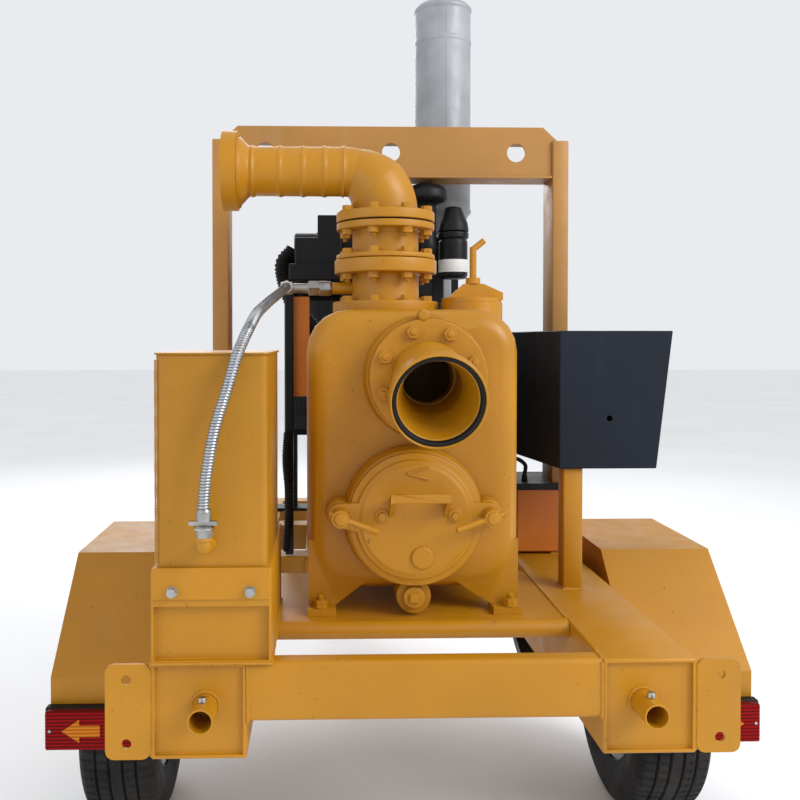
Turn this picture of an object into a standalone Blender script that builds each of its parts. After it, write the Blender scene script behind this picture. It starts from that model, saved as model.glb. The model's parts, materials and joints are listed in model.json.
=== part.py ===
"""Road-towed self-priming trash pump set: two-wheel chassis, wet-prime pump, engine, tank and lifting arch.

Units are metres and +Z is up. Every object hangs from one empty at the rear end of the rails, so in this
file Y runs forward from the rails' rear end, X runs to the right from the centreline, seen from the rear,
and Z is the height over the ground.
"""

from math import atan2, cos, pi, radians, sin

import bmesh
import bpy
from mathutils import Matrix, Vector

# ---------------------------------------------------------------- driving sizes
FIT = 0.0003  # gap between pieces that touch
FACETS = 28  # sides of every large round piece, so that nested ones stay clear
SOLID = "MANIFOLD"  # boolean solver for the casing: the default one tears faces that large bores cross

OVERALL_LENGTH = 3.125  # socket mouths to hitch eye
RAIL_LENGTH = 1.850
RAIL_WIDTH = 0.200
RAIL_HEIGHT = 0.202
RAIL_WALL = 0.009
RAIL_TOP = 0.782
RAIL_OUTER = 0.575  # centreline to a rail's outer face
END_RECESS = 0.009
END_PLATE = 0.006

CROSSBAR_HEIGHT = 0.126
CROSSBAR_DEPTH = 0.052
CROSSBAR_WALL = 0.006
DECK_REAR = 0.245
DECK_LENGTH = 0.465
DECK_HEIGHT = 0.042
DECK_WALL = 0.008
BED_HEIGHT = 0.090
DRAWBAR_SIZE = 0.110
DRAWBAR_WALL = 0.008

EAR_WIDTH = 0.094
EAR_PLATE = 0.008
EAR_HOLE = 0.0105
SOCKET_REACH = 0.075
SOCKET_RADIUS = 0.0265
SOCKET_WALL = 0.004
SOCKET_OFFSET = 0.013  # a socket stands this far inside its rail's middle
SOCKET_CENTRE_Z = 0.690

TYRE_RADIUS = 0.330
TYRE_WIDTH = 0.222
TYRE_OFFSET = 0.220  # a rail's outer face to the tyre's middle
AXLE_Y = 0.951
AXLE_SIZE = 0.070
HUB_RADIUS = 0.085
RIM_RADIUS = 0.195
SPRING_WIDTH = 0.060
SPRING_THICKNESS = 0.036
SPRING_SPAN = 0.760

GUARD_GAP = 0.028  # a rail's outer face to the guard
GUARD_WIDTH = 0.319
GUARD_TOP = 0.840
GUARD_TOP_HALF = 0.220
GUARD_REAR_HALF = 0.488
GUARD_SLOPE_END = 0.578
GUARD_BOTTOM = 0.491
GUARD_SHEET = 0.004
LIGHT_TOP = 0.511
LIGHT_HEIGHT = 0.107
LIGHT_DEPTH = 0.045
LIGHT_OFFSET = 0.085  # a rail's outer face to the lamp
LIGHT_PROUD = 0.006  # how far a lamp stands out past the guard

ARCH_Y = 0.917
ARCH_DEPTH = 0.120
POST_WIDTH = 0.050
POST_WALL = 0.005
POST_MARGIN = 0.019  # a rail's outer face to the post's
POST_TOP = 2.079
BEAM_TOP = 2.122
BEAM_BOTTOM = 1.962
BEAM_PLATE = 0.008
BEAM_SETBACK = 0.012
LIFT_HOLE_RADIUS = 0.0285
LIFT_HOLE_SPACING = 0.393

TANK_MARGIN = 0.012  # the left rail's outer face to the tank's
TANK_WIDTH = 0.232
TANK_LENGTH = 0.442
TANK_BASE = 0.985
TANK_TOP = 1.424
TANK_WALL = 0.003
TRAY_WALL = 0.006

BOX_MARGIN = 0.156  # the box's inner side to the right rail's outer face
BOX_WIDTH = 0.306
BOX_FOOT_WIDTH = 0.263
BOX_REAR = 0.509
BOX_LENGTH = 0.392
BOX_SPLAY = 0.062  # how far the inner side stands out at the front end
BOX_BASE = 1.110
BOX_TOP = 1.480
BOX_WALL = 0.003
BOX_POST = 0.053
BOX_POST_INSET = 0.0145  # the post's inner side, in from the box's inner side
PANEL_INSET = 0.060

CASING_LEFT = 0.255
CASING_RIGHT = 0.275
CASING_FRONT = 0.335  # the wall that faces the rear of the trailer
CASING_LENGTH = 0.465
CASING_TOP = 1.532
CASING_BASE = 0.835
CASING_WALL = 0.014
SHOULDER = 0.105
FLANGE_RADIUS = 0.1425
PIPE_RADIUS = 0.070
PIPE_BORE = 0.064
SUCTION_X = 0.0385
SUCTION_Z = 1.364
SUCTION_FACE = 0.272
CUP_RADIUS = 0.1095
CUP_TILT = radians(13.7)
CUP_REACH = 0.195
COVER_Z = 1.025
COVER_FACE = 0.258
COVER_RADIUS = 0.160
COVER_X = 0.006
CLAMP_X = 0.180
CLAMP_Z = 1.036
STACK_X = -0.039
STACK_Y = 0.640
SPOOL_RADIUS = 0.093
FILL_X = 0.196
FILL_Y = 0.600
FILL_RADIUS = 0.085

ENGINE_REAR = 0.900
ENGINE_LENGTH = 0.560
BELL_RADIUS = 0.215
SHAFT_Z = 1.130
SHAFT_RADIUS = 0.024
FAN_RADIUS = 0.200
RADIATOR_Y = 1.640
MUFFLER_X = 0.194
MUFFLER_Y = 1.167
MUFFLER_RADIUS = 0.098
MUFFLER_BASE = 1.886
MUFFLER_TOP = 2.569

JACK_Y = 2.690
JACK_X = -0.150
JACK_PIVOT_Z = 0.640
JACK_RADIUS = 0.032
JACK_LEG_RADIUS = 0.026
JACK_PLAY = 0.0015  # gap all round between leg and sleeve
JACK_RISE = 0.160  # pivot to the sleeve's top
JACK_SLEEVE_LOW = 0.160
JACK_FOOT_RADIUS = 0.075
JACK_ARM = 0.128
EYE_RADIUS = 0.062
EYE_BORE = 0.038

# ---------------------------------------------------------------- places that follow from them
REAR_Y = SOCKET_REACH - OVERALL_LENGTH / 2
RAIL_INNER = RAIL_OUTER - RAIL_WIDTH
RAIL_BASE = RAIL_TOP - RAIL_HEIGHT
RAIL_MID = RAIL_OUTER - RAIL_WIDTH / 2
RAIL_MID_Z = RAIL_TOP - RAIL_HEIGHT / 2
SOCKET_CENTRE_X = RAIL_MID - SOCKET_OFFSET
TYRE_CENTRE_X = RAIL_OUTER + TYRE_OFFSET
GUARD_INNER = RAIL_OUTER + GUARD_GAP
GUARD_OUTER = GUARD_INNER + GUARD_WIDTH
LIGHT_INNER = RAIL_OUTER + LIGHT_OFFSET
POST_OUTER = RAIL_OUTER - POST_MARGIN
POST_INNER = POST_OUTER - POST_WIDTH
FRONT_END = OVERALL_LENGTH - SOCKET_REACH
TANK_LEFT = RAIL_OUTER - TANK_MARGIN
TANK_RIGHT = TANK_LEFT - TANK_WIDTH
BOX_LEFT = RAIL_OUTER - BOX_MARGIN
AXLE_Z = TYRE_RADIUS
CASING_BACK = CASING_FRONT + CASING_LENGTH
SIDES = (("left", -1), ("right", 1))

# ---------------------------------------------------------------- finishes
FINISHES = {
    "yellow_paint": ((0.53, 0.25, 0.022), 0.35, 0.0),
    "arch_paint": ((0.53, 0.27, 0.06), 0.40, 0.0),
    "black_paint": ((0.008, 0.009, 0.011), 0.40, 0.0),
    "box_paint": ((0.017, 0.022, 0.032), 0.45, 0.0),
    "zinc_steel": ((0.55, 0.55, 0.53), 0.30, 1.0),
    "bare_steel": ((0.35, 0.34, 0.33), 0.40, 1.0),
    "cast_iron": ((0.12, 0.12, 0.12), 0.60, 0.8),
    "silver_paint": ((0.42, 0.46, 0.50), 0.35, 0.5),
    "rubber": ((0.012, 0.012, 0.012), 0.75, 0.0),
    "tyre_rubber": ((0.018, 0.018, 0.019), 0.80, 0.0),
    "red_lens": ((0.30, 0.008, 0.012), 0.20, 0.0),
    "panel_grey": ((0.05, 0.05, 0.055), 0.50, 0.0),
    "button_red": ((0.45, 0.02, 0.015), 0.35, 0.0),
    "braided_hose": ((0.45, 0.44, 0.42), 0.35, 0.9),
}


def finish(name):
    """The named finish as a Principled material, made once."""
    if name in bpy.data.materials:
        return bpy.data.materials[name]
    colour, roughness, metallic = FINISHES[name]
    material = bpy.data.materials.new(name)
    material.use_nodes = True
    shader = material.node_tree.nodes["Principled BSDF"]
    shader.inputs["Base Color"].default_value = (*colour, 1.0)
    shader.inputs["Roughness"].default_value = roughness
    shader.inputs["Metallic"].default_value = metallic
    material.diffuse_color = (*colour, 1.0)
    return material


# ---------------------------------------------------------------- shape tools
AXES = {"x": Vector((1, 0, 0)), "y": Vector((0, 1, 0)), "z": Vector((0, 0, 1))}


def clear_scene():
    for old in list(bpy.data.objects):
        bpy.data.objects.remove(old, do_unlink=True)


def frame_of(direction):
    """A matrix whose Z column is the direction; a turned shape's own axis is laid along it."""
    return Vector(direction).to_track_quat("Z", "Y").to_matrix().to_4x4()


def box(low, high):
    """A closed box between two corners."""
    mesh = bmesh.new()
    bmesh.ops.create_cube(mesh, size=1.0)
    low, high = Vector(low), Vector(high)
    size = [max(high[i] - low[i], 1e-6) for i in range(3)]
    bmesh.ops.scale(mesh, vec=size, verts=mesh.verts)
    bmesh.ops.translate(mesh, vec=(low + high) / 2, verts=mesh.verts)
    return mesh


def prism(outline, axis, start, end):
    """An outline extruded along x, y or z; its points are the other two coordinates, in X, Y, Z order."""
    mesh = bmesh.new()
    spot = "xyz".index(axis)
    corners = []
    for first, second in outline:
        point = [first, second]
        point.insert(spot, start)
        corners.append(mesh.verts.new(point))
    face = mesh.faces.new(corners)
    grown = bmesh.ops.extrude_face_region(mesh, geom=[face])["geom"]
    moved = [item for item in grown if isinstance(item, bmesh.types.BMVert)]
    bmesh.ops.translate(mesh, vec=AXES[axis] * (end - start), verts=moved)
    bmesh.ops.recalc_face_normals(mesh, faces=mesh.faces)
    return mesh


def turned(profile, centre, direction, steps=32):
    """A closed outline of (radius, height) points, spun round an axis through centre along direction."""
    mesh = bmesh.new()
    corners = [mesh.verts.new((radius, 0, height)) for radius, height in profile]
    edges = [mesh.edges.new((corners[i - 1], corners[i])) for i in range(len(corners))]
    bmesh.ops.spin(
        mesh, geom=corners + edges, cent=(0, 0, 0), axis=(0, 0, 1),
        angle=2 * pi, steps=steps, use_merge=True,
    )
    bmesh.ops.remove_doubles(mesh, verts=mesh.verts, dist=1e-6)
    flat = [face for face in mesh.faces if face.calc_area() < 1e-12]
    bmesh.ops.delete(mesh, geom=flat, context="FACES")
    bmesh.ops.recalc_face_normals(mesh, faces=mesh.faces)
    mesh.transform(Matrix.Translation(centre) @ frame_of(direction))
    return mesh


def rod(start, end, radius, steps=16):
    """A plain round bar between two points."""
    start, end = Vector(start), Vector(end)
    length = (end - start).length
    return turned([(0, 0), (radius, 0), (radius, length), (0, length)], start, end - start, steps)


def collar(start, end, radius, bore, steps=32):
    """A round bar with a through bore."""
    start, end = Vector(start), Vector(end)
    length = (end - start).length
    outline = [(bore, 0), (radius, 0), (radius, length), (bore, length)]
    return turned(outline, start, end - start, steps)


def bent_pipe(points, radii, bores, steps=24):
    """A pipe whose rings stand on the given points; a bore of 0 all along makes a solid bar."""
    mesh = bmesh.new()
    points = [Vector(point) for point in points]
    rings, inner = [], []
    side = None
    for index, point in enumerate(points):
        ahead = points[min(index + 1, len(points) - 1)] - points[max(index - 1, 0)]
        ahead.normalize()
        if side is None:
            side = ahead.orthogonal().normalized()
        side = (side - ahead * side.dot(ahead)).normalized()
        up = ahead.cross(side)
        for size, bundle in ((radii[index], rings), (bores[index], inner)):
            turn = [2 * pi * step / steps for step in range(steps)]
            bundle.append([mesh.verts.new(point + (side * cos(a) + up * sin(a)) * size) for a in turn])
    hollow = bores[0] > 0
    chain = rings + inner[::-1] + rings[:1] if hollow else rings
    for one, two in zip(chain, chain[1:]):
        for step in range(steps):
            mesh.faces.new((one[step - 1], one[step], two[step], two[step - 1]))
    if not hollow:
        bmesh.ops.delete(mesh, geom=[vert for ring in inner for vert in ring], context="VERTS")
        mesh.faces.new(rings[0])
        mesh.faces.new(rings[-1])
    bmesh.ops.recalc_face_normals(mesh, faces=mesh.faces)
    return mesh


def arc(centre, radius, start, end, steps):
    """Points on an arc, angles in degrees."""
    angles = [radians(start + (end - start) * step / steps) for step in range(steps + 1)]
    return [(centre[0] + radius * cos(angle), centre[1] + radius * sin(angle)) for angle in angles]


def rounded(low, high, radius, steps=4):
    """A rectangle's outline with round corners."""
    (left, base), (right, top) = low, high
    return (
        arc((right - radius, top - radius), radius, 0, 90, steps)
        + arc((left + radius, top - radius), radius, 90, 180, steps)
        + arc((left + radius, base + radius), radius, 180, 270, steps)
        + arc((right - radius, base + radius), radius, 270, 360, steps)
    )


# ---------------------------------------------------------------- objects
def place(name, mesh, look, origin=(0, 0, 0), smooth=30):
    """Puts a mesh in the scene as a named object whose origin stands at the given point."""
    bmesh.ops.translate(mesh, vec=-Vector(origin), verts=mesh.verts)
    data = bpy.data.meshes.new(name)
    mesh.to_mesh(data)
    mesh.free()
    data.shade_smooth()
    data.set_sharp_from_angle(angle=radians(smooth))
    data.materials.append(finish(look))
    thing = bpy.data.objects.new(name, data)
    bpy.context.scene.collection.objects.link(thing)
    thing.parent = bpy.data.objects["chassis_origin"]
    thing.location = origin
    return thing


def bevel(thing, width, segments=2, angle=40):
    """Rounds the sharp edges of an object."""
    step = thing.modifiers.new("edges", "BEVEL")
    step.width = width
    step.segments = segments
    step.limit_method = "ANGLE"
    step.angle_limit = radians(angle)
    return thing


def boolean(thing, mesh, operation, solver):
    """Joins a helper mesh to an object, or cuts it away."""
    helper = place(f"{thing.name}_{operation.lower()}", mesh, "bare_steel")
    helper.hide_render = True
    helper.hide_set(True)
    helper.display_type = "WIRE"
    step = thing.modifiers.new(operation.lower(), "BOOLEAN")
    step.operation = operation
    step.solver = solver
    step.object = helper
    return thing


def join(thing, mesh, solver="EXACT"):
    boolean(thing, mesh, "UNION", solver)


def cut(thing, mesh, solver="EXACT"):
    boolean(thing, mesh, "DIFFERENCE", solver)


# ---------------------------------------------------------------- chassis
def make_rails():
    for side, sign in SIDES:
        low, high = sorted((sign * RAIL_INNER, sign * RAIL_OUTER))
        rail = place(f"rail_{side}", box((low, 0, RAIL_BASE), (high, RAIL_LENGTH, RAIL_TOP)),
                     "yellow_paint")
        bevel(rail, 0.005)
        inside = (low + RAIL_WALL, RAIL_BASE + RAIL_WALL), (high - RAIL_WALL, RAIL_TOP - RAIL_WALL)
        (left, base), (right, top) = inside
        cut(rail, box((left, -1, base), (right, END_RECESS, top)))
        cut(rail, box((left, END_RECESS + END_PLATE, base), (right, RAIL_LENGTH + 1, top)))


def make_cross_members():
    reach = RAIL_INNER - FIT
    top = RAIL_TOP
    outline = rounded((0.002, top - CROSSBAR_HEIGHT), (0.002 + CROSSBAR_DEPTH, top), 0.012)
    bar = place("rear_crossbar", prism(outline, "x", -reach, reach), "yellow_paint")
    wall = CROSSBAR_WALL
    inside = rounded((0.002 + wall, top - CROSSBAR_HEIGHT + wall),
                     (0.002 + CROSSBAR_DEPTH - wall, top - wall), 0.006)
    cut(bar, prism(inside, "x", -1, 1))

    rear, front = DECK_REAR, DECK_REAR + DECK_LENGTH
    nose = DECK_HEIGHT / 2
    outline = arc((rear + nose, top - nose), nose, 90, 270, 6)
    outline += [(rear + 0.12, top - DECK_HEIGHT), (rear + 0.12, top - DECK_WALL),
                (front, top - DECK_WALL)]
    outline += [(front, top)]
    place("pump_deck", prism(outline, "x", -reach, reach), "yellow_paint")

    bed_rear, bed_front = ENGINE_REAR + 0.05, ENGINE_REAR + ENGINE_LENGTH - 0.05
    bed = place(
        "engine_bed", box((-reach, bed_rear - 0.04, top - BED_HEIGHT),
                          (reach, bed_rear + 0.04, top)), "yellow_paint"
    )
    join(bed, box((-reach, bed_front - 0.04, top - BED_HEIGHT), (reach, bed_front + 0.04, top)))
    for sign in (-1, 1):
        low, high = sorted((sign * 0.19, sign * 0.27))
        join(bed, box((low, bed_rear - 0.05, top - BED_HEIGHT + 0.01),
                      (high, bed_front + 0.05, top - 0.01)))

    low = (-RAIL_OUTER, RAIL_LENGTH + FIT, RAIL_BASE)
    member = place("front_crossmember", box(low, (RAIL_OUTER, RAIL_LENGTH + 0.08, RAIL_TOP)),
                   "yellow_paint")
    cut(member, box((-1, RAIL_LENGTH + 0.01, RAIL_BASE + 0.008),
                    (1, RAIL_LENGTH + 0.07, RAIL_TOP - 0.008)))


def make_drawbar():
    start, end = RAIL_LENGTH + 0.08 + FIT, FRONT_END - 0.16
    half = DRAWBAR_SIZE / 2
    low, high = RAIL_MID_Z - half, RAIL_MID_Z + half
    bar = place("drawbar", box((-half, start, low), (half, end, high)), "yellow_paint")
    bevel(bar, 0.008)
    inner = half - DRAWBAR_WALL
    cut(bar, box((-inner, start - 1, RAIL_MID_Z - inner), (inner, end + 1, RAIL_MID_Z + inner)))
    for sign in (-1, 1):
        gusset = [(sign * half * 0.9, start), (sign * 0.30, start), (sign * half * 0.9, start + 0.34)]
        join(bar, prism(gusset, "z", RAIL_MID_Z - 0.004, RAIL_MID_Z + 0.004))

    centre = (0, FRONT_END - EYE_RADIUS, RAIL_MID_Z)
    outline = [(EYE_BORE, -0.018), (EYE_RADIUS, -0.018), (EYE_RADIUS, 0.018), (EYE_BORE, 0.018)]
    eye = place("hitch_eye", turned(outline, centre, (0, 0, 1), 24), "zinc_steel")
    neck_end = FRONT_END - EYE_RADIUS - EYE_BORE - 0.006
    join(eye, box((-0.022, end + 0.006, RAIL_MID_Z - 0.016), (0.022, neck_end, RAIL_MID_Z + 0.016)))
    join(eye, box((-half, end + FIT, low), (half, end + 0.014, high)))


def make_jack():
    """Swing-up parking jack: sleeve on a side bracket, leg inside it, crank on top."""
    x, y = JACK_X, JACK_Y
    top = JACK_PIVOT_Z + JACK_RISE
    tube = collar((x, y, JACK_SLEEVE_LOW), (x, y, top), JACK_RADIUS, JACK_LEG_RADIUS + JACK_PLAY, 20)
    sleeve = place("jack_sleeve", tube, "zinc_steel", (x, y, JACK_PIVOT_Z))
    inner_end = -DRAWBAR_SIZE / 2 - FIT
    root = x + (JACK_RADIUS + JACK_LEG_RADIUS + JACK_PLAY) / 2
    join(sleeve, rod((root, y, JACK_PIVOT_Z), (inner_end, y, JACK_PIVOT_Z), 0.030, 20))

    leg_top = top - 0.06
    leg_tube = rod((x, y, 0.006), (x, y, leg_top), JACK_LEG_RADIUS, 20)
    leg = place("jack_leg", leg_tube, "zinc_steel", (x, y, leg_top))
    foot = [(0, 0), (JACK_FOOT_RADIUS, 0), (JACK_FOOT_RADIUS, 0.008), (0.034, 0.03), (0, 0.03)]
    join(leg, turned(foot, (x, y, 0), (0, 0, 1), 20))

    cap_z = top + 0.0005
    cap = [(0, 0), (0.030, 0), (0.030, 0.02), (0.012, 0.03), (0, 0.03)]
    crank = place("jack_crank", turned(cap, (x, y, cap_z), (0, 0, 1), 16), "zinc_steel", (x, y, cap_z))
    arm_z = cap_z + 0.030
    join(crank, box((x - JACK_ARM - 0.012, y - 0.010, arm_z - 0.008), (x + 0.012, y + 0.010, arm_z)))
    join(crank, rod((x - JACK_ARM, y, arm_z - 0.004), (x - JACK_ARM, y, arm_z + 0.09), 0.009, 12))


# ---------------------------------------------------------------- running gear
def make_axle():
    half = AXLE_SIZE / 2
    reach = TYRE_CENTRE_X - TYRE_WIDTH / 2 - 0.03
    low = (-reach, AXLE_Y - half, AXLE_Z - half)
    axle = place("axle_beam", box(low, (reach, AXLE_Y + half, AXLE_Z + half)), "black_paint")
    for sign in (-1, 1):
        start = (sign * (reach - 0.01), AXLE_Y, AXLE_Z)
        join(axle, rod(start, (sign * (TYRE_CENTRE_X + 0.055), AXLE_Y, AXLE_Z), 0.022, 16))

    spring_low = AXLE_Z + half + FIT
    for side, sign in SIDES:
        middle = sign * RAIL_MID
        x_low, x_high = middle - SPRING_WIDTH / 2, middle + SPRING_WIDTH / 2
        rise = RAIL_BASE - 0.055 - spring_low
        half_span = SPRING_SPAN / 2
        radius = (half_span**2 + rise**2) / (2 * rise)
        swing = 90 - 57.2958 * atan2(half_span, radius - rise)
        centre = (AXLE_Y, spring_low + radius)
        outline = arc(centre, radius, 180 + swing, 360 - swing, 12)
        outline += arc(centre, radius - SPRING_THICKNESS, 360 - swing, 180 + swing, 12)
        spring = place(f"leaf_spring_{side}", prism(outline, "x", x_low, x_high), "black_paint")
        for end in (-1, 1):
            y = AXLE_Y + end * half_span
            z = RAIL_BASE - 0.07
            join(spring, rod((x_low - 0.004, y, z), (x_high + 0.004, y, z), 0.026, 16))
            for edge in (x_low - 0.010, x_high + 0.0):
                outline = [(y - 0.04, RAIL_BASE - FIT), (y + 0.04, RAIL_BASE - FIT),
                           (y + 0.02, z - 0.02), (y - 0.02, z - 0.02)]
                join(spring, prism(outline, "x", edge, edge + 0.010))


def make_wheels():
    """Tyre and rim of each wheel, lathed with as many sides as each other so that they stay clear."""
    half = TYRE_WIDTH / 2
    bead = half - 0.030
    lip = bead + 0.006
    shoulder, crown = TYRE_RADIUS - 0.030, TYRE_RADIUS - 0.010
    belly = (RIM_RADIUS + TYRE_RADIUS) / 2 - 0.0125
    tyre_outline = [
        (RIM_RADIUS + FIT, -bead), (belly, -half + 0.004), (shoulder, -half), (crown, -half + 0.018),
        (TYRE_RADIUS, -half + 0.045), (TYRE_RADIUS, half - 0.045), (crown, half - 0.018),
        (shoulder, half), (belly, half - 0.004), (RIM_RADIUS + FIT, bead), (RIM_RADIUS + 0.020, bead - 0.012),
        (shoulder, half - 0.03), (TYRE_RADIUS - 0.024, 0), (shoulder, -half + 0.03),
        (RIM_RADIUS + 0.020, -bead + 0.012),
    ]
    rim = [
        (RIM_RADIUS, -lip), (RIM_RADIUS, lip), (RIM_RADIUS - 0.012, lip), (RIM_RADIUS - 0.022, 0.03),
        (RIM_RADIUS - 0.045, 0.020), (HUB_RADIUS, 0.045), (HUB_RADIUS, 0.062), (0.035, 0.066), (0.035, 0.11),
        (0.0, 0.115), (0.0, 0.062), (0.0225, 0.062), (0.0225, 0.0), (0.0225, -0.075), (0.070, -0.075),
        (HUB_RADIUS, -0.03), (HUB_RADIUS, 0.030), (RIM_RADIUS - 0.050, 0.008), (RIM_RADIUS - 0.026, 0.01),
        (RIM_RADIUS - 0.012, -lip),
    ]
    for side, sign in SIDES:
        centre = (sign * TYRE_CENTRE_X, AXLE_Y, AXLE_Z)
        outward = (sign, 0, 0)
        place(f"tyre_{side}", turned(tyre_outline, centre, outward, FACETS), "tyre_rubber", centre)
        place(f"wheel_{side}", turned(rim, centre, outward, FACETS), "silver_paint", centre)


def make_mudguards():
    """A folded strip over each wheel, an inner plate beside the rail and two tabs that reach the rail."""
    for side, sign in SIDES:
        rear = [(-GUARD_REAR_HALF, GUARD_BOTTOM), (-GUARD_REAR_HALF, GUARD_SLOPE_END),
                (-GUARD_TOP_HALF, GUARD_TOP)]
        halves = rear + [(-y, z) for y, z in reversed(rear)]
        outer = [(AXLE_Y + y, z) for y, z in halves]
        sheet = GUARD_SHEET
        inner = [(AXLE_Y + y - sheet * (1 if y > 0 else -1),
                  z - (sheet if z > GUARD_SLOPE_END else 0)) for y, z in halves]
        low, high = sorted((sign * GUARD_INNER, sign * GUARD_OUTER))
        guard = place(f"mudguard_{side}", prism(outer + inner[::-1], "x", low, high), "yellow_paint")
        low, high = sorted((sign * GUARD_INNER, sign * (GUARD_INNER + sheet)))
        join(guard, prism([(y, z - 0.0006) for y, z in outer], "x", low, high))
        low, high = sorted((sign * (RAIL_OUTER + FIT), sign * (GUARD_INNER + sheet / 2)))
        for y in (AXLE_Y - 0.25, AXLE_Y + 0.25):
            join(guard, box((low, y - 0.04, RAIL_TOP - 0.11), (high, y + 0.04, RAIL_TOP - 0.10)))
        lamp_y = AXLE_Y - GUARD_REAR_HALF - FIT
        low, high = sorted((sign * LIGHT_INNER, sign * (GUARD_OUTER + LIGHT_PROUD)))
        body = box((low, lamp_y - LIGHT_DEPTH, LIGHT_TOP - LIGHT_HEIGHT), (high, lamp_y, LIGHT_TOP))
        lamp = place(f"tail_light_{side}", body, "red_lens")
        bevel(lamp, 0.006)


def make_rear_fittings():
    for side, sign in SIDES:
        low, high = sorted((sign * (RAIL_OUTER + FIT), sign * (RAIL_OUTER + EAR_WIDTH)))
        corner = 0.018
        outline = rounded((low, RAIL_BASE + 0.001), (high, RAIL_TOP - 0.001), corner)
        ear = place(f"corner_plate_{side}", prism(outline, "y", 0.0, EAR_PLATE), "yellow_paint")
        x = sign * (RAIL_OUTER + EAR_WIDTH - 0.044)
        for z in (RAIL_TOP - 0.034, RAIL_BASE + 0.034):
            cut(ear, rod((x, -0.1, z), (x, 0.1, z), EAR_HOLE, 16))
        x = sign * SOCKET_CENTRE_X
        start = (x, END_RECESS - FIT, SOCKET_CENTRE_Z)
        end = (x, -SOCKET_REACH, SOCKET_CENTRE_Z)
        tube = place(f"socket_{side}", collar(start, end, SOCKET_RADIUS, SOCKET_RADIUS - SOCKET_WALL,
                                              24), "yellow_paint")
        y = -SOCKET_REACH * 0.4
        cut(tube, rod((x, y, SOCKET_CENTRE_Z), (x, y, SOCKET_CENTRE_Z + 0.1), 0.006, 12))


def make_arch():
    back = ARCH_Y + ARCH_DEPTH
    for side, sign in SIDES:
        low, high = sorted((sign * POST_INNER, sign * POST_OUTER))
        post = place(f"arch_post_{side}", box((low, ARCH_Y, RAIL_TOP + FIT), (high, back, POST_TOP)),
                     "arch_paint")
        bevel(post, 0.004)
        wall = POST_WALL
        cut(post, box((low + wall, ARCH_Y + wall, 0), (high - wall, back - wall, POST_TOP - wall)))
    inner, outer = POST_INNER - FIT, POST_INNER + 0.018
    shelf = POST_TOP + FIT
    outline = [(-inner, BEAM_BOTTOM), (inner, BEAM_BOTTOM), (inner, shelf), (outer, shelf),
               (outer - 0.046, BEAM_TOP), (-outer + 0.046, BEAM_TOP), (-outer, shelf), (-inner, shelf)]
    web = ARCH_Y + BEAM_SETBACK
    beam = place("lifting_beam", prism(outline, "y", web, web + BEAM_PLATE), "arch_paint")
    join(beam, box((-inner, web - 0.009, BEAM_BOTTOM), (inner, back, BEAM_BOTTOM + BEAM_PLATE)))
    flange = inner - 0.03
    join(beam, box((-flange, web, BEAM_TOP - BEAM_PLATE - 0.03), (flange, back, BEAM_TOP - 0.03)))
    for step in (-1, 0, 1):
        x = step * LIFT_HOLE_SPACING
        z = (BEAM_TOP + BEAM_BOTTOM) / 2
        cut(beam, rod((x, web - 0.1, z), (x, web + 0.03, z), LIFT_HOLE_RADIUS, 24))


# ---------------------------------------------------------------- tank and control box
def make_tank():
    left, right = -TANK_LEFT, -TANK_RIGHT
    tray_left, tray_right = left - 0.010, right + 0.008
    wall = TRAY_WALL
    floor = RAIL_TOP + FIT
    rim = TANK_BASE - 0.004
    solid = box((tray_left, -0.004, floor), (tray_right, TANK_LENGTH + 0.010, rim))
    tray = place("tank_tray", solid, "yellow_paint")
    bevel(tray, 0.003)
    inside_low = (tray_left + wall, 0.008, floor + wall)
    cut(tray, box((tray_left + wall, -1, floor + wall), (tray_right - wall, 0.012, rim - 0.080)))
    cut(tray, box((inside_low[0], 0.018, floor + wall), (tray_right - wall, 1, rim - wall)))

    outline = rounded((left, 0.001), (right, TANK_LENGTH), 0.014)
    tank = place("water_tank", prism(outline, "z", TANK_BASE - 0.004 + FIT, TANK_TOP), "yellow_paint")
    wall = TANK_WALL
    outline = rounded((left + wall, 0.001 + wall), (right - wall, TANK_LENGTH - wall), 0.011)
    cut(tank, prism(outline, "z", TANK_BASE + wall, TANK_TOP + 1))

    outline = rounded((left - 0.004, -0.003), (right + 0.004, TANK_LENGTH + 0.004), 0.016)
    place("tank_lid", prism(outline, "z", TANK_TOP + FIT, TANK_TOP + 0.005), "yellow_paint")


HOSE_RADIUS = 0.0125
HOSE_ROUTE = [
    (-0.456, -0.052, 1.094), (-0.456, -0.052, 1.110), (-0.456, -0.052, 1.130), (-0.450, -0.050, 1.190),
    (-0.434, -0.047, 1.277),
    (-0.412, -0.040, 1.350), (-0.394, -0.028, 1.415), (-0.380, -0.008, 1.455), (-0.368, 0.030, 1.487),
    (-0.358, 0.100, 1.515), (-0.350, 0.200, 1.533), (-0.342, 0.300, 1.550), (-0.332, 0.400, 1.567),
    (-0.322, 0.490, 1.584), (-0.316, 0.550, 1.597), (-0.314, 0.576, 1.600), (-0.314, 0.588, 1.600),
    (-0.314, 0.600, 1.600),
]


def smooth_route(points, parts):
    """Points read from a Catmull-Rom curve through the route's own points."""
    points = [Vector(point) for point in points]
    ends = [2 * points[0] - points[1]] + points + [2 * points[-1] - points[-2]]
    read = []
    for p0, p1, p2, p3 in zip(ends, ends[1:], ends[2:], ends[3:]):
        for step in range(parts):
            t = step / parts
            read.append(0.5 * (2 * p1 + (p2 - p0) * t + (2 * p0 - 5 * p1 + 4 * p2 - p3) * t**2
                               + (3 * p1 - p0 - 3 * p2 + p3) * t**3))
    return read + [points[-1]]


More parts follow.
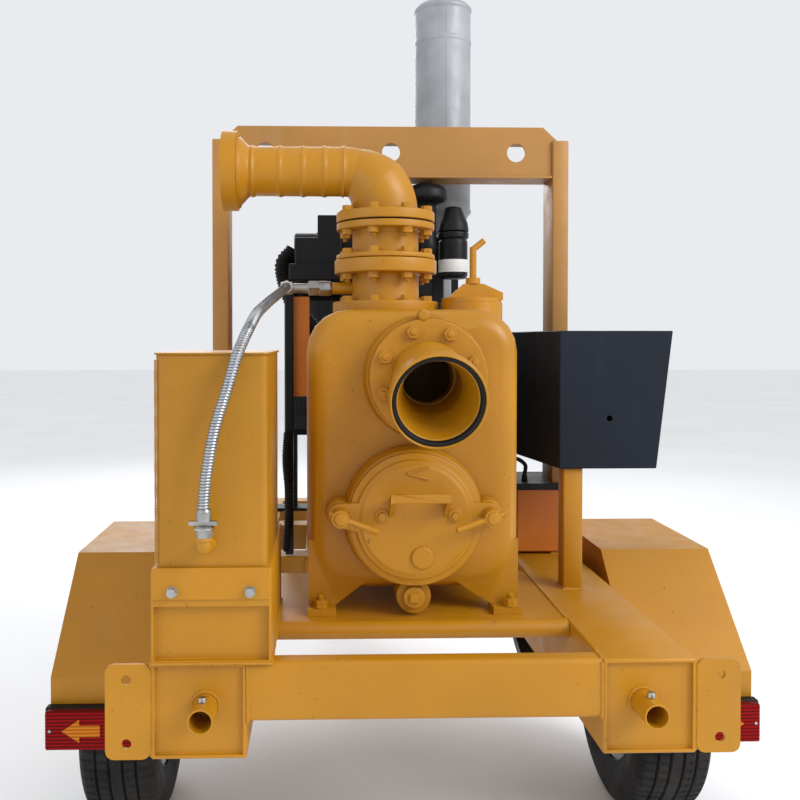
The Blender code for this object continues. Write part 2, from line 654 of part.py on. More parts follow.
def make_hose():
    """Air-release hose from the tank's elbow up to the lower spool, with a fitting at each end."""
    foot, top = Vector(HOSE_ROUTE[0]), Vector(HOSE_ROUTE[-1])
    boss_z = foot.z - 0.062
    elbow = place("tank_elbow", rod((foot.x, 0.001 - FIT, boss_z), (foot.x, foot.y + 0.004, boss_z),
                                    0.018, 16),
                  "yellow_paint")
    join(elbow, rod((foot.x, foot.y + 0.0, boss_z - 0.019), (foot.x, foot.y, foot.z - 0.036), 0.0135, 16))
    join(elbow, rod((foot.x, foot.y, foot.z - 0.040), foot - Vector((0, 0, FIT)), 0.0175, 12))
    curve = bpy.data.curves.new("bleed_hose", "CURVE")
    curve.dimensions = "3D"
    curve.bevel_depth = HOSE_RADIUS
    curve.bevel_resolution = 2
    curve.use_fill_caps = True
    line = curve.splines.new("POLY")
    route = smooth_route(HOSE_ROUTE, 2)
    line.points.add(len(route) - 1)
    for spot, point in zip(line.points, route):
        spot.co = (*point, 1)
    curve.materials.append(finish("braided_hose"))
    hose = bpy.data.objects.new("bleed_hose", curve)
    bpy.context.scene.collection.objects.link(hose)
    hose.parent = bpy.data.objects["chassis_origin"]
    knuckle = Vector((top.x, STACK_Y, top.z))
    spool_side = (STACK_X - SPOOL_RADIUS - FIT - 0.002, STACK_Y, top.z)
    fitting = place("hose_fitting", rod(top + Vector((0, FIT, 0)), knuckle, 0.0155, 12), "zinc_steel")
    join(fitting, rod(knuckle - Vector((0.016, 0, 0)), spool_side, 0.0165, 16))
    join(fitting, rod(knuckle + Vector((0.060, 0, 0)), knuckle + Vector((0.130, 0, 0)), 0.023, 6))


def make_control_box():
    left, right, foot_right = BOX_LEFT, BOX_LEFT + BOX_WIDTH, BOX_LEFT + BOX_FOOT_WIDTH
    front = BOX_REAR + BOX_LENGTH
    outline = [(left, BOX_BASE), (foot_right, BOX_BASE), (right, BOX_TOP), (left, BOX_TOP)]

    def splayed(mesh, rear, length):
        """Leans the inner side wall away from the rear edge."""
        for vert in mesh.verts:
            if vert.co.x < left + 0.010:
                vert.co.x -= BOX_SPLAY * (vert.co.y - rear) / length
        return mesh

    shell = place("control_box", splayed(prism(outline, "y", BOX_REAR, front), BOX_REAR, BOX_LENGTH),
                  "box_paint")
    bevel(shell, 0.002, 1)
    wall = BOX_WALL
    mouth = [(left + wall, BOX_BASE + wall), (foot_right + 0.2, BOX_BASE + wall),
             (right + 0.2, BOX_TOP - wall),
             (left + wall, BOX_TOP - wall)]
    cut(shell, splayed(prism(mouth, "y", BOX_REAR + wall, front - wall), BOX_REAR, BOX_LENGTH))
    y = BOX_REAR
    cut(shell, rod((left + 0.135, y - 0.1, BOX_BASE + 0.135),
                   (left + 0.135, y + 0.1, BOX_BASE + 0.135), 0.008, 12))

    inset, thick = PANEL_INSET, 0.004
    gap = wall + FIT
    foot_x, top_x = foot_right - inset, right - inset
    slope = (top_x - foot_x) / (BOX_TOP - BOX_BASE)
    low, high = BOX_BASE + gap, BOX_TOP - gap
    outline = [(foot_x, low), (foot_x + thick, low), (top_x + thick, high), (top_x, high)]
    place("instrument_panel", prism(outline, "y", BOX_REAR + gap, front - gap), "panel_grey")
    normal = Vector((1, 0, -slope)).normalized()

    def on_panel(y, z):
        return Vector((foot_x + thick + slope * (z - low), y, z)) + normal * FIT

    middle = (BOX_BASE + BOX_TOP) / 2
    spot = on_panel(BOX_REAR + 0.14, middle - 0.08)
    key = place("key_switch", rod(spot, spot + normal * 0.016, 0.014, 16), "zinc_steel", spot)
    bow = spot + normal * 0.026
    join(key, box(bow - Vector((0.012, 0.002, 0.010)), bow + Vector((0.012, 0.002, 0.010))))
    spot = on_panel(BOX_REAR + 0.26, middle - 0.08)
    outline = [(0, 0.006), (0.010, 0.006), (0.010, 0.014), (0.020, 0.014), (0.020, 0.026), (0, 0.028)]
    place("stop_button", turned(outline, spot, normal, 20), "button_red", spot)

    x = BOX_LEFT + BOX_POST_INSET
    y = BOX_REAR + 0.013
    post = place(
        "box_post", box((x, y, RAIL_TOP + FIT), (x + BOX_POST, y + BOX_POST,
                                                 BOX_BASE - FIT)), "yellow_paint"
    )
    bevel(post, 0.004)
    wall = 0.004
    cut(post, box((x + wall, y + wall, 0), (x + BOX_POST - wall, y + BOX_POST - wall,
                                            BOX_BASE - wall - FIT)))


# ---------------------------------------------------------------- pump
def make_casing():
    low, high = (-CASING_LEFT, CASING_BASE), (CASING_RIGHT, CASING_TOP)
    outline = rounded(low, high, SHOULDER, 5)
    casing = place("pump_casing", prism(outline, "y", CASING_FRONT, CASING_BACK), "yellow_paint")
    bevel(casing, 0.050, 4)
    foot_y = (CASING_FRONT + 0.010, CASING_BACK - 0.040)
    for sign, edge in ((-1, CASING_LEFT), (1, CASING_RIGHT)):
        for y in foot_y:
            outline = [(sign * (edge - 0.004), 0.790), (sign * (edge - 0.060), 0.790),
                       (sign * 0.07, 0.885),
                       (sign * 0.07, 0.940), (sign * (edge - 0.004), 0.960)]
            join(casing, prism(outline, "y", y, y + 0.028))
            x_low, x_high = sorted((sign * (edge - 0.072), sign * (edge - 0.002)))
            join(casing, box((x_low, y - 0.040, RAIL_TOP + FIT), (x_high, y + 0.042, RAIL_TOP + 0.018)))
    suction = (SUCTION_X, SUCTION_FACE + 0.026 + FIT, SUCTION_Z)
    join(casing, rod(suction, (SUCTION_X, CASING_FRONT + 0.05, SUCTION_Z), FLANGE_RADIUS + 0.006, FACETS))
    cover_seat = COVER_FACE + 0.026 + FIT
    join(casing, rod((COVER_X, cover_seat, COVER_Z), (COVER_X, CASING_FRONT + 0.05, COVER_Z),
                     COVER_RADIUS, FACETS))
    for sign in (-1, 1):
        x = COVER_X + sign * CLAMP_X
        join(casing, rod((x, cover_seat, CLAMP_Z), (x, CASING_FRONT + 0.05, CLAMP_Z), 0.030, 20))
    join(casing, rod((COVER_X, 0.300, 0.832), (COVER_X, CASING_FRONT + 0.06, 0.832), 0.042, 20))
    join(casing, rod((FILL_X, FILL_Y, CASING_TOP - 0.09), (FILL_X, FILL_Y, CASING_TOP + 0.026),
                     FILL_RADIUS, FACETS))
    wall = CASING_WALL
    inner = rounded((low[0] + wall, low[1] + wall), (high[0] - wall, high[1] - wall), SHOULDER - wall, 5)
    cut(casing, prism(inner, "y", CASING_FRONT + 0.030, CASING_BACK - 0.030), SOLID)
    cut(casing, rod((SUCTION_X, 0, SUCTION_Z), (SUCTION_X, CASING_FRONT + 0.1, SUCTION_Z), PIPE_BORE,
                    FACETS), SOLID)
    cut(casing, rod((COVER_X, 0, COVER_Z), (COVER_X, CASING_FRONT + 0.1, COVER_Z),
                    COVER_RADIUS - 0.027, FACETS), SOLID)
    for sign in (-1, 1):
        x = COVER_X + sign * CLAMP_X
        cut(casing, rod((x, 0, CLAMP_Z), (x, cover_seat + 0.040, CLAMP_Z), 0.0115, 16), SOLID)
    cut(casing, rod((COVER_X, 0, 0.832), (COVER_X, 0.345, 0.832), 0.0205, 16), SOLID)
    cut(casing, rod((STACK_X, STACK_Y, CASING_TOP - 0.1), (STACK_X, STACK_Y, CASING_TOP + 1),
                    PIPE_BORE + 0.012, FACETS), SOLID)
    cut(casing, rod((FILL_X, FILL_Y, CASING_TOP - 0.15), (FILL_X, FILL_Y, CASING_TOP + 1),
                    FILL_RADIUS - 0.020, FACETS), SOLID)
    cut(casing, rod((0, CASING_BACK - 0.1, SHAFT_Z), (0, CASING_BACK + 1, SHAFT_Z),
                    SHAFT_RADIUS + 0.0015, 24), SOLID)


def make_suction():
    """Flange, tilted cup and the rubber ring in the cup's mouth."""
    towards = Vector((0, -cos(CUP_TILT), -sin(CUP_TILT)))
    centre = Vector((SUCTION_X, SUCTION_FACE + 0.004, SUCTION_Z))
    reach = CUP_REACH
    outer = [(0, 0), (0.086, 0), (0.094, reach * 0.45), (CUP_RADIUS - 0.004, reach * 0.78),
             (CUP_RADIUS, reach * 0.80), (CUP_RADIUS, reach), (0, reach)]
    cup = place("suction_cup", turned(outer, centre, towards, FACETS), "yellow_paint")
    join(cup, rod((SUCTION_X, SUCTION_FACE, SUCTION_Z), (SUCTION_X, SUCTION_FACE + 0.026, SUCTION_Z),
                  FLANGE_RADIUS, FACETS))
    seat = CUP_RADIUS - 0.006
    inner = [(0, -0.08), (PIPE_BORE, -0.08), (PIPE_BORE, reach * 0.42), (0.091, reach - 0.014),
             (seat, reach - 0.014),
             (seat, reach + 0.05), (0, reach + 0.05)]
    cut(cup, turned(inner, centre, towards, FACETS))
    ring = [(0.092, reach - 0.014 + FIT), (seat - FIT, reach - 0.014 + FIT),
            (seat - FIT, reach - 0.002), (0.096, reach - 0.002)]
    place("suction_seal", turned(ring, centre, towards, FACETS), "rubber")


def make_cover():
    """Front clean-out cover with its handle; each clamp screw turns in an ear of the cover."""
    centre = Vector((COVER_X, COVER_FACE, COVER_Z))
    rim, spigot = COVER_RADIUS, COVER_RADIUS - 0.029
    outline = [(0, 0.002), (rim - 0.020, 0.002), (rim - 0.016, 0.0), (rim, 0.004), (rim, 0.026),
               (spigot, 0.026),
               (spigot, 0.070), (spigot - 0.012, 0.070), (spigot - 0.012, 0.030), (0, 0.030)]
    cover = place("front_cover", turned(outline, centre, (0, 1, 0), FACETS), "yellow_paint", centre)
    for sign in (-1, 1):
        x = COVER_X + sign * CLAMP_X
        join(cover, rod((x, COVER_FACE + 0.003, CLAMP_Z), (x, COVER_FACE + 0.024, CLAMP_Z), 0.029, 20))
        low, high = sorted((x - sign * 0.004, COVER_X + sign * (rim - 0.012)))
        join(cover, box((low, COVER_FACE + 0.005, CLAMP_Z - 0.027),
                        (high, COVER_FACE + 0.023, CLAMP_Z + 0.023)))
    for sign in (-1, 1):
        x = COVER_X + sign * CLAMP_X
        cut(cover, rod((x, 0, CLAMP_Z), (x, 1, CLAMP_Z), 0.0115, 16))
    handle_z = 1.086
    bar_y = COVER_FACE - 0.052
    for x in (-0.057, 0.069):
        leg = [(COVER_FACE + 0.006, handle_z - 0.055), (COVER_FACE + 0.006, handle_z - 0.010),
               (bar_y, handle_z + 0.010),
               (bar_y, handle_z - 0.010)]
        join(cover, prism(leg, "x", x, x + 0.014))
    join(cover, box((-0.057, bar_y - 0.006, handle_z - 0.010), (0.083, bar_y + 0.008, handle_z + 0.011)))
    join(cover, rod((0.014, COVER_FACE - 0.003, 0.940), (0.014, COVER_FACE + 0.01, 0.940), 0.027, 20))

    for (side, sign), drop in zip(SIDES, (0.030, 0.026)):
        x = COVER_X + sign * CLAMP_X
        head = COVER_FACE - 0.040
        origin = (x, head, CLAMP_Z)
        screw = place(f"clamp_screw_{side}", rod(origin, (x, COVER_FACE + 0.003 - FIT, CLAMP_Z),
                                                 0.021, 20),
                      "yellow_paint", origin)
        join(screw, rod((x, head + 0.03, CLAMP_Z), (x, COVER_FACE + 0.060, CLAMP_Z), 0.0105, 16))
        tip = (x - sign * 0.088, head - 0.004, CLAMP_Z - drop)
        back = (x + sign * 0.026, head + 0.016, CLAMP_Z + drop * 0.3)
        join(screw, rod(back, tip, 0.0075, 12))

    origin = (COVER_X, 0.2996, 0.832)
    outline = [(0, -0.004), (0.026, -0.004), (0.026, 0.0), (0.020, 0.0), (0.020, 0.040), (0, 0.040)]
    plug = place("drain_plug", turned(outline, (COVER_X, 0.2996, 0.832), (0, 1, 0), 20),
                 "yellow_paint", origin)
    join(plug, box((COVER_X - 0.011, 0.278, 0.821), (COVER_X + 0.011, 0.297, 0.843)))


def make_rotor():
    """Impeller, shaft and flywheel, which turn as one."""
    start = Vector((0, CASING_FRONT + 0.13, SHAFT_Z))
    shaft_end = ENGINE_REAR - FIT - start.y
    wheel = CASING_BACK - start.y
    outline = [
        (0, 0), (0.035, 0.0), (0.042, 0.030), (0.125, 0.060), (0.125, 0.074), (0.040, 0.078),
        (SHAFT_RADIUS, 0.082), (SHAFT_RADIUS, wheel + 0.035), (0.185, wheel + 0.040),
        (0.185, wheel + 0.080), (SHAFT_RADIUS, wheel + 0.082), (SHAFT_RADIUS, shaft_end), (0, shaft_end),
    ]
    rotor = place("impeller_shaft", turned(outline, start, (0, 1, 0), 24), "cast_iron", start)
    for step in range(3):
        turn = Matrix.Rotation(2 * pi * step / 3, 4, "Y")
        vane = box((0.030, 0.012, -0.006), (0.118, 0.064, 0.006))
        vane.transform(Matrix.Translation(start) @ turn)
        join(rotor, vane)
    ring = collar((0, CASING_BACK + FIT, SHAFT_Z), (0, ENGINE_REAR - FIT, SHAFT_Z), BELL_RADIUS,
                  BELL_RADIUS - 0.012, FACETS)
    place("bell_housing", ring, "black_paint")


def make_discharge():
    """Lower spool with its non-return flap, upper spool, and the elbow that ends in a flared cup."""
    bore = PIPE_BORE + 0.012
    base = CASING_TOP + FIT
    joints = (1.5615, 1.6386, 1.6771, 1.6784, 1.6917, 1.7593, 1.7779)
    foot_top, neck_top, top, ring_base, ring_top, upper_neck, upper_top = joints
    centre = (STACK_X, STACK_Y, 0)
    outline = [(bore, base), (0.1375, base), (0.1375, foot_top), (SPOOL_RADIUS, foot_top),
               (SPOOL_RADIUS, neck_top),
               (FLANGE_RADIUS, neck_top), (FLANGE_RADIUS, top), (bore, top)]
    place("lower_spool", turned(outline, centre, (0, 0, 1), FACETS), "yellow_paint")
    outline = [(bore, ring_base), (FLANGE_RADIUS, ring_base), (FLANGE_RADIUS, ring_top),
               (SPOOL_RADIUS - 0.002, ring_top),
               (SPOOL_RADIUS - 0.002, upper_neck), (FLANGE_RADIUS - 0.001,
                                                    upper_neck), (FLANGE_RADIUS - 0.001, upper_top),
               (bore, upper_top)]
    place("upper_spool", turned(outline, centre, (0, 0, 1), FACETS), "yellow_paint")
    pivot = (STACK_X, STACK_Y + bore - 0.014, foot_top + 0.004)
    flap = place("check_flap", rod((STACK_X, STACK_Y, foot_top), (STACK_X, STACK_Y, foot_top + 0.008),
                                   bore - 0.004, 24),
                 "rubber", pivot)
    join(flap, box((STACK_X - 0.012, STACK_Y + 0.02, foot_top + 0.001),
                   (STACK_X + 0.012, STACK_Y + bore - 0.008, foot_top + 0.012)))

    flange_base, flange_top = 1.7822, 1.8088
    bend = 0.115
    pipe_z = 1.925
    end_x = -0.490
    points = [(STACK_X, STACK_Y, flange_base)]
    corner = (STACK_X - bend, pipe_z - bend)
    points += [(x, STACK_Y, z) for x, z in arc(corner, bend, 0, 90, 6)]
    flare = [(end_x + 0.080, PIPE_RADIUS), (end_x + 0.044, CUP_RADIUS), (end_x, CUP_RADIUS)]
    points += [(x, STACK_Y, pipe_z) for x, radius in flare]
    radii = [PIPE_RADIUS] * 8 + [radius for x, radius in flare]
    bores = [PIPE_BORE] * 9 + [0.098, 0.102]
    elbow = place("discharge_elbow", bent_pipe(points, radii, bores, 20), "yellow_paint")
    flange = collar((STACK_X, STACK_Y, flange_base), (STACK_X, STACK_Y, flange_top),
                    FLANGE_RADIUS - 0.003, PIPE_BORE + 0.003, FACETS)
    join(elbow, flange)


def make_filler():
    """Hinged filler lid with the screw that clamps it."""
    seat = CASING_TOP + 0.026 + FIT
    hinge = (FILL_X + FILL_RADIUS - 0.004, FILL_Y - 0.030, seat + 0.014)
    lid = place("filler_lid", rod((FILL_X, FILL_Y, seat), (FILL_X, FILL_Y, seat + 0.012),
                                  FILL_RADIUS - 0.003, FACETS),
                "yellow_paint", hinge)
    bar = [(FILL_X - 0.070, seat + 0.006), (FILL_X + 0.080, seat + 0.006), (FILL_X + 0.080, seat + 0.026),
           (FILL_X + 0.026, seat + 0.050), (FILL_X - 0.026, seat + 0.050), (FILL_X - 0.060, seat + 0.020)]
    join(lid, prism(bar, "y", FILL_Y - 0.042, FILL_Y - 0.014))
    top = seat + 0.050 + FIT
    origin = (FILL_X, FILL_Y - 0.028, top)
    screw = place("filler_clamp", rod(origin, (FILL_X, FILL_Y - 0.028, top + 0.100), 0.0095, 16),
                  "yellow_paint", origin)
    join(screw, rod((FILL_X, FILL_Y - 0.028, top + 0.094),
                    (FILL_X + 0.030, FILL_Y - 0.028, top + 0.118), 0.0085, 12))
    join(screw, rod(origin, (FILL_X, FILL_Y - 0.028, top + 0.016), 0.020, 16))


# ---------------------------------------------------------------- engine
def make_engine():
    rear, front = ENGINE_REAR, ENGINE_REAR + ENGINE_LENGTH
    low = 0.880
    block = place("engine_block", box((-0.150, rear, low), (0.150, front, 1.300)), "black_paint")
    bevel(block, 0.012)
    join(block, box((-0.125, rear + 0.02, 1.295), (0.125, front - 0.02, 1.400)))
    join(block, box((-0.085, rear + 0.04, 1.395), (0.060, front - 0.04, 1.470)))
    cut(block, box((-0.120, rear + 0.030, 0), (0.120, front - 0.030, 1.100)))
    for sign in (-1, 1):
        for y in (rear + 0.05, front - 0.05):
            inner, outer = sorted((sign * 0.135, sign * 0.250))
            join(block, box((inner, y - 0.035, RAIL_TOP - 0.01 + FIT + 0.010),
                            (outer, y + 0.035, RAIL_TOP + 0.02)))
            inner, outer = sorted((sign * 0.135, sign * 0.165))
            join(block, box((inner, y - 0.030, RAIL_TOP + 0.01), (outer, y + 0.030, low + 0.06)))

    fan_z = 1.330
    hub = Vector((0, front + FIT, fan_z))
    fan = place("cooling_fan", rod(hub, hub + Vector((0, 0.075, 0)), 0.050, 20), "black_paint", hub)
    for step in range(6):
        blade = box((0.035, 0.040, -0.030), (FAN_RADIUS, 0.045, 0.030))
        blade.transform(Matrix.Rotation(radians(28), 4, "X"))
        blade.transform(Matrix.Translation(hub) @ Matrix.Rotation(2 * pi * step / 6, 4, "Y"))
        join(fan, blade)

    y = RADIATOR_Y
    radiator = place("radiator", box((-0.363, y, 1.080), (0.330, y + 0.080, 1.640)), "black_paint")
    bevel(radiator, 0.010)
    join(radiator, box((-0.350, y - 0.020, 1.630), (0.320, y + 0.090, 1.735)))
    join(radiator, box((-0.363, y, RAIL_TOP + FIT), (-0.313, y + 0.080, 1.090)))
    join(radiator, box((0.280, y, RAIL_TOP + FIT), (0.330, y + 0.080, 1.090)))
    foot = RAIL_INNER + 0.105
    join(radiator, box((-foot, y - 0.010, RAIL_TOP + FIT), (foot, y + 0.090, RAIL_TOP + 0.012)))

    z = 1.760
    centre = (-0.309, 1.180, z)
    outline = [(0, 0), (0.060, 0), (0.060, 0.080), (0.112, 0.084), (0.112, 0.360), (0.100, 0.380),
               (0, 0.380)]
    cleaner = place("air_cleaner", turned(outline, centre, (1, 0, 0), 28), "black_paint")
    join(cleaner, box((-0.080, 1.150, 1.470 + FIT), (0.040, 1.210, 1.670)))

    centre = (MUFFLER_X, MUFFLER_Y, 0)
    radius, base, top = MUFFLER_RADIUS, MUFFLER_BASE, MUFFLER_TOP
    outline = [
        (0, base - 0.36), (0.030, base - 0.36), (0.030, base - 0.09), (0.046, base - 0.085),
        (radius - 0.012, base - 0.006), (radius, base), (radius, top), (radius - 0.014, top + 0.014),
        (0.050, top + 0.020), (0.044, top + 0.045), (0.036, top + 0.045), (0.036, top - 0.20), (0, top - 0.20),
    ]
    muffler = place("muffler", turned(outline, centre, (0, 0, 1), 24), "silver_paint")
    z = base - 0.36
    join(muffler, rod((MUFFLER_X, MUFFLER_Y, z), (MUFFLER_X, MUFFLER_Y, z - 0.16), 0.034, 20))
    join(muffler, rod((0.125 + FIT, MUFFLER_Y, z - 0.135), (MUFFLER_X + 0.02, MUFFLER_Y, z - 0.135),
                      0.030, 20))


def main():
    clear_scene()
    origin = bpy.data.objects.new("chassis_origin", None)
    origin.location = (0, REAR_Y, 0)
    bpy.context.scene.collection.objects.link(origin)
    for build in (make_rails, make_cross_members, make_drawbar, make_jack, make_axle, make_wheels,
                  make_mudguards,
                  make_rear_fittings, make_arch, make_tank, make_hose, make_control_box, make_casing, make_suction,
                  make_cover, make_rotor, make_discharge, make_filler, make_engine):
        build()


main()
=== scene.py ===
"""Visual model of a trailer trash pump set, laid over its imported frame.

Every new piece is a surface computed with numpy: a grid of two parameters, or a profile carried along a path.
Units are metres; X is right seen from the rear, Y is forward along the drawbar, Z is up from the ground.
"""

import json

import bmesh
import bpy
import numpy as np
from bpy.props import FloatProperty, FloatVectorProperty, PointerProperty
from mathutils import Matrix, Vector


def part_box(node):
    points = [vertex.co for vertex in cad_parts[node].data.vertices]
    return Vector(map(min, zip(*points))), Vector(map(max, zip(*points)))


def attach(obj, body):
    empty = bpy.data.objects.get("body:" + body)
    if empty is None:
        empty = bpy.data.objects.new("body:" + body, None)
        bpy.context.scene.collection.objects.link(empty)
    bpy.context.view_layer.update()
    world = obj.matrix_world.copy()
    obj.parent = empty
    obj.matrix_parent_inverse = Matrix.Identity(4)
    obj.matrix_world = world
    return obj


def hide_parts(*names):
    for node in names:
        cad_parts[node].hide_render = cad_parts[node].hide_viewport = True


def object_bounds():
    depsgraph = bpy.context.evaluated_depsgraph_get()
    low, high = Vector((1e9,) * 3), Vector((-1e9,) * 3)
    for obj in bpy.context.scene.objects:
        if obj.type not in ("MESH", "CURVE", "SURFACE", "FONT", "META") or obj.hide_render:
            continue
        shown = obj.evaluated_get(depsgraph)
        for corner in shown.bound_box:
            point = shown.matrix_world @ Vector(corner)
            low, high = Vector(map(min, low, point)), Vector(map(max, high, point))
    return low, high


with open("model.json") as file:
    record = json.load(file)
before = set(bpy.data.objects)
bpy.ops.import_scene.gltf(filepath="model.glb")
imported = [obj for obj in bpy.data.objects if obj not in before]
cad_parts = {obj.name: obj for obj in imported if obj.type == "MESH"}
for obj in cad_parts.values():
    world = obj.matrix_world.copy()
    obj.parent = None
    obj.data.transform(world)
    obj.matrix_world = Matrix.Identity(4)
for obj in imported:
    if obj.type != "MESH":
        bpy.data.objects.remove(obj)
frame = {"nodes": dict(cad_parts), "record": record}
CAD_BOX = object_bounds()

bl_info = {
    "name": "Trailer Trash Pump",
    "version": (1, 0, 0),
    "blender": (4, 5, 0),
    "location": "View3D > Sidebar > Pump",
    "description": "Builds the looks of a towed wet-prime trash pump around its frame",
    "category": "Object",
}

# ---------------------------------------------------------------- places read from the frame
TAU = 2 * np.pi
X, Y, Z = np.eye(3)


def low(node):
    """The lowest corner of a node's box in the frame."""
    return np.array(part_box(node)[0])


def high(node):
    """The highest corner of a node's box in the frame."""
    return np.array(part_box(node)[1])


def middle(node):
    """The middle of a node's box in the frame."""
    return (low(node) + high(node)) / 2


REAR = low("rail_left")[1]  # the rails' rear ends
CUP_TILT = np.radians(13.7)
PULL = np.array([0.0, -np.cos(CUP_TILT), -np.sin(CUP_TILT)])  # the suction cup's axis
SUCTION = np.array([0.0385, REAR + 0.272, 1.364])  # the suction flange's centre
COVER = np.array([0.006, REAR + 0.258, 1.025])  # the clean-out cover's centre
CLAMP_REACH, CLAMP_HEIGHT = 0.180, 1.036  # the cover's two clamps, from its middle and from the ground
STACK = middle("upper_spool")  # the discharge stack's axis
SPIN_STEPS = 96  # sides of a large turned piece
EDGE_ANGLE = np.radians(38)  # edges sharper than this are rounded
HOSE_ROUTE = np.array([
    (-0.456, -0.052, 1.094), (-0.456, -0.052, 1.110), (-0.456, -0.052, 1.130), (-0.450, -0.050, 1.190),
    (-0.434, -0.047, 1.277), (-0.412, -0.040, 1.350), (-0.394, -0.028, 1.415), (-0.380, -0.008, 1.455),
    (-0.368, 0.030, 1.487), (-0.358, 0.100, 1.515), (-0.350, 0.200, 1.533), (-0.342, 0.300, 1.550),
    (-0.332, 0.400, 1.567), (-0.322, 0.490, 1.584), (-0.316, 0.550, 1.597), (-0.314, 0.576, 1.600),
    (-0.314, 0.588, 1.600), (-0.314, 0.600, 1.600),
]) + [0, REAR, 0]  # as the frame's own hose runs, forward from the rails' rear ends


# ---------------------------------------------------------------- surfaces
def lattice(points, close_u=False, close_v=False, caps=False):
    """Quads over a grid of points; close_u and close_v join its last row or column to its first, caps fill it."""
    rows, columns = points.shape[:2]
    index = np.arange(rows * columns).reshape(rows, columns)
    across = np.concatenate([index, index[:, :1]], axis=1) if close_v else index
    along = np.concatenate([across, across[:1]], axis=0) if close_u else across
    quads = np.stack([along[:-1, :-1], along[:-1, 1:], along[1:, 1:], along[1:, :-1]], axis=-1).reshape(-1, 4)
    faces = quads.tolist()
    if caps:
        faces += [index[0, ::-1].tolist(), index[-1].tolist()]
    return points.reshape(-1, 3), faces


def gather(parts):
    """Several surfaces as one list of points and one of faces."""
    points, faces, start = [], [], 0
    for some, quads in parts:
        points.append(some)
        faces += [[corner + start for corner in quad] for quad in quads]
        start += len(some)
    return np.concatenate(points), faces


def axes_for(direction):
    """Two unit vectors square to a direction and to each other."""
    along = np.asarray(direction, float)
    along = along / np.linalg.norm(along)
    helper = X if abs(along[0]) < 0.9 else Y
    side = np.cross(helper, along)
    side /= np.linalg.norm(side)
    return along, side, np.cross(along, side)


def soften(outline, radius, steps=4):
    """Each inner corner of an open outline replaced by a curve that leaves and meets its sides at radius."""
    outline = np.asarray(outline, float)
    soft = [outline[0]]
    for before, corner, after in zip(outline, outline[1:], outline[2:]):
        back, ahead = before - corner, after - corner
        lengths = np.linalg.norm(back), np.linalg.norm(ahead)
        reach = min(radius, 0.45 * lengths[0], 0.45 * lengths[1])
        start, end = corner + back / lengths[0] * reach, corner + ahead / lengths[1] * reach
        for t in np.linspace(0, 1, steps):
            soft.append((1 - t) ** 2 * start + 2 * t * (1 - t) * corner + t**2 * end)
    soft.append(outline[-1])
    return np.array(soft)


def turned(outline, centre, direction, radius=0.002, steps=72, corner_steps=4):
    """A profile of (radius, height) points spun round an axis; its corners are softened first."""
    outline = soften(outline, radius, corner_steps)
    along, side, up = axes_for(direction)
    angle = np.linspace(0, TAU, steps, endpoint=False)
    ring = np.cos(angle)[:, None] * side + np.sin(angle)[:, None] * up
    points = np.asarray(centre) + outline[:, 0, None, None] * ring + outline[:, 1, None, None] * along
    return lattice(points, close_v=True)


def unit(vectors):
    """Vectors of length one with the same headings."""
    return vectors / np.linalg.norm(vectors, axis=-1, keepdims=True)


def frames_along(ahead):
    """Sides and ups square to each heading; each side is the last one less its part along the new heading."""
    sides = [axes_for(ahead[0])[1]]
    for step in ahead[1:]:
        sides.append(unit(sides[-1] - step * sides[-1].dot(step)))
    sides = np.array(sides)
    return sides, np.cross(ahead, sides)


def carried(path, radius, steps=16, closed=False):
    """A ring carried along a path: path + radius * (cos a * side + sin a * up), its ends capped or joined."""
    path = np.asarray(path, float)
    ahead = np.roll(path, -1, axis=0) - np.roll(path, 1, axis=0) if closed else np.gradient(path, axis=0)
    sides, ups = frames_along(unit(ahead))
    angle = np.linspace(0, TAU, steps, endpoint=False)[:, None]
    size = np.broadcast_to(np.asarray(radius, float), len(path))[:, None, None]
    points = path[:, None] + size * (np.cos(angle) * sides[:, None] + np.sin(angle) * ups[:, None])
    return lattice(points, close_u=closed, close_v=True, caps=not closed)


def pipe_wall(path, outer, inner, steps=64):
    """A pipe with its bore: rings of the outer radius out along the path, then of the inner radius back."""
    sides, ups = frames_along(unit(np.gradient(path, axis=0)))
    there, sides, ups = (np.concatenate([line, line[::-1], line[:1]]) for line in (path, sides, ups))
    size = np.concatenate([outer, inner, outer[:1]])
    angle = np.linspace(0, TAU, steps, endpoint=False)[None, :, None]
    ring = np.cos(angle) * sides[:, None] + np.sin(angle) * ups[:, None]
    return lattice(there[:, None] + size[:, None, None] * ring, close_v=True)


def even_run(line, count):
    """Points spaced evenly along a line, with the distance run at each; count takes the whole length."""
    run = np.concatenate([[0], np.cumsum(np.linalg.norm(np.diff(line, axis=0), axis=1))])
    even = np.linspace(0, run[-1], count(run[-1]))
    return np.stack([np.interp(even, run, line[:, axis]) for axis in range(3)], axis=1), even


def smooth_path(points, parts=12):
    """Points read from a Catmull-Rom curve: a cubic of each four points in turn, through the middle two."""
    points = np.asarray(points, float)
    ends = np.concatenate([[2 * points[0] - points[1]], points, [2 * points[-1] - points[-2]]])
    t = np.linspace(0, 1, parts, endpoint=False)[:, None]
    read = []
    for a, b, c, d in zip(ends, ends[1:], ends[2:], ends[3:]):
        square, cube = 2 * a - 5 * b + 4 * c - d, 3 * b - a - 3 * c + d
        read.append(0.5 * (2 * b + (c - a) * t + square * t**2 + cube * t**3))
    return np.concatenate(read + [points[-1:]])


def ring_of(centre, direction, radius, angle):
    """Points on a circle square to a direction: centre + radius * (cos angle * side + sin angle * up)."""
    _, side, up = axes_for(direction)
    return np.asarray(centre) + radius * (np.cos(angle)[:, None] * side + np.sin(angle)[:, None] * up)


def circle_of(centre, direction, radius, count, turn=0.0):
    """Points spaced evenly on a circle, the first one turned by an angle."""
    return ring_of(centre, direction, radius, turn + np.arange(count) * TAU / count)


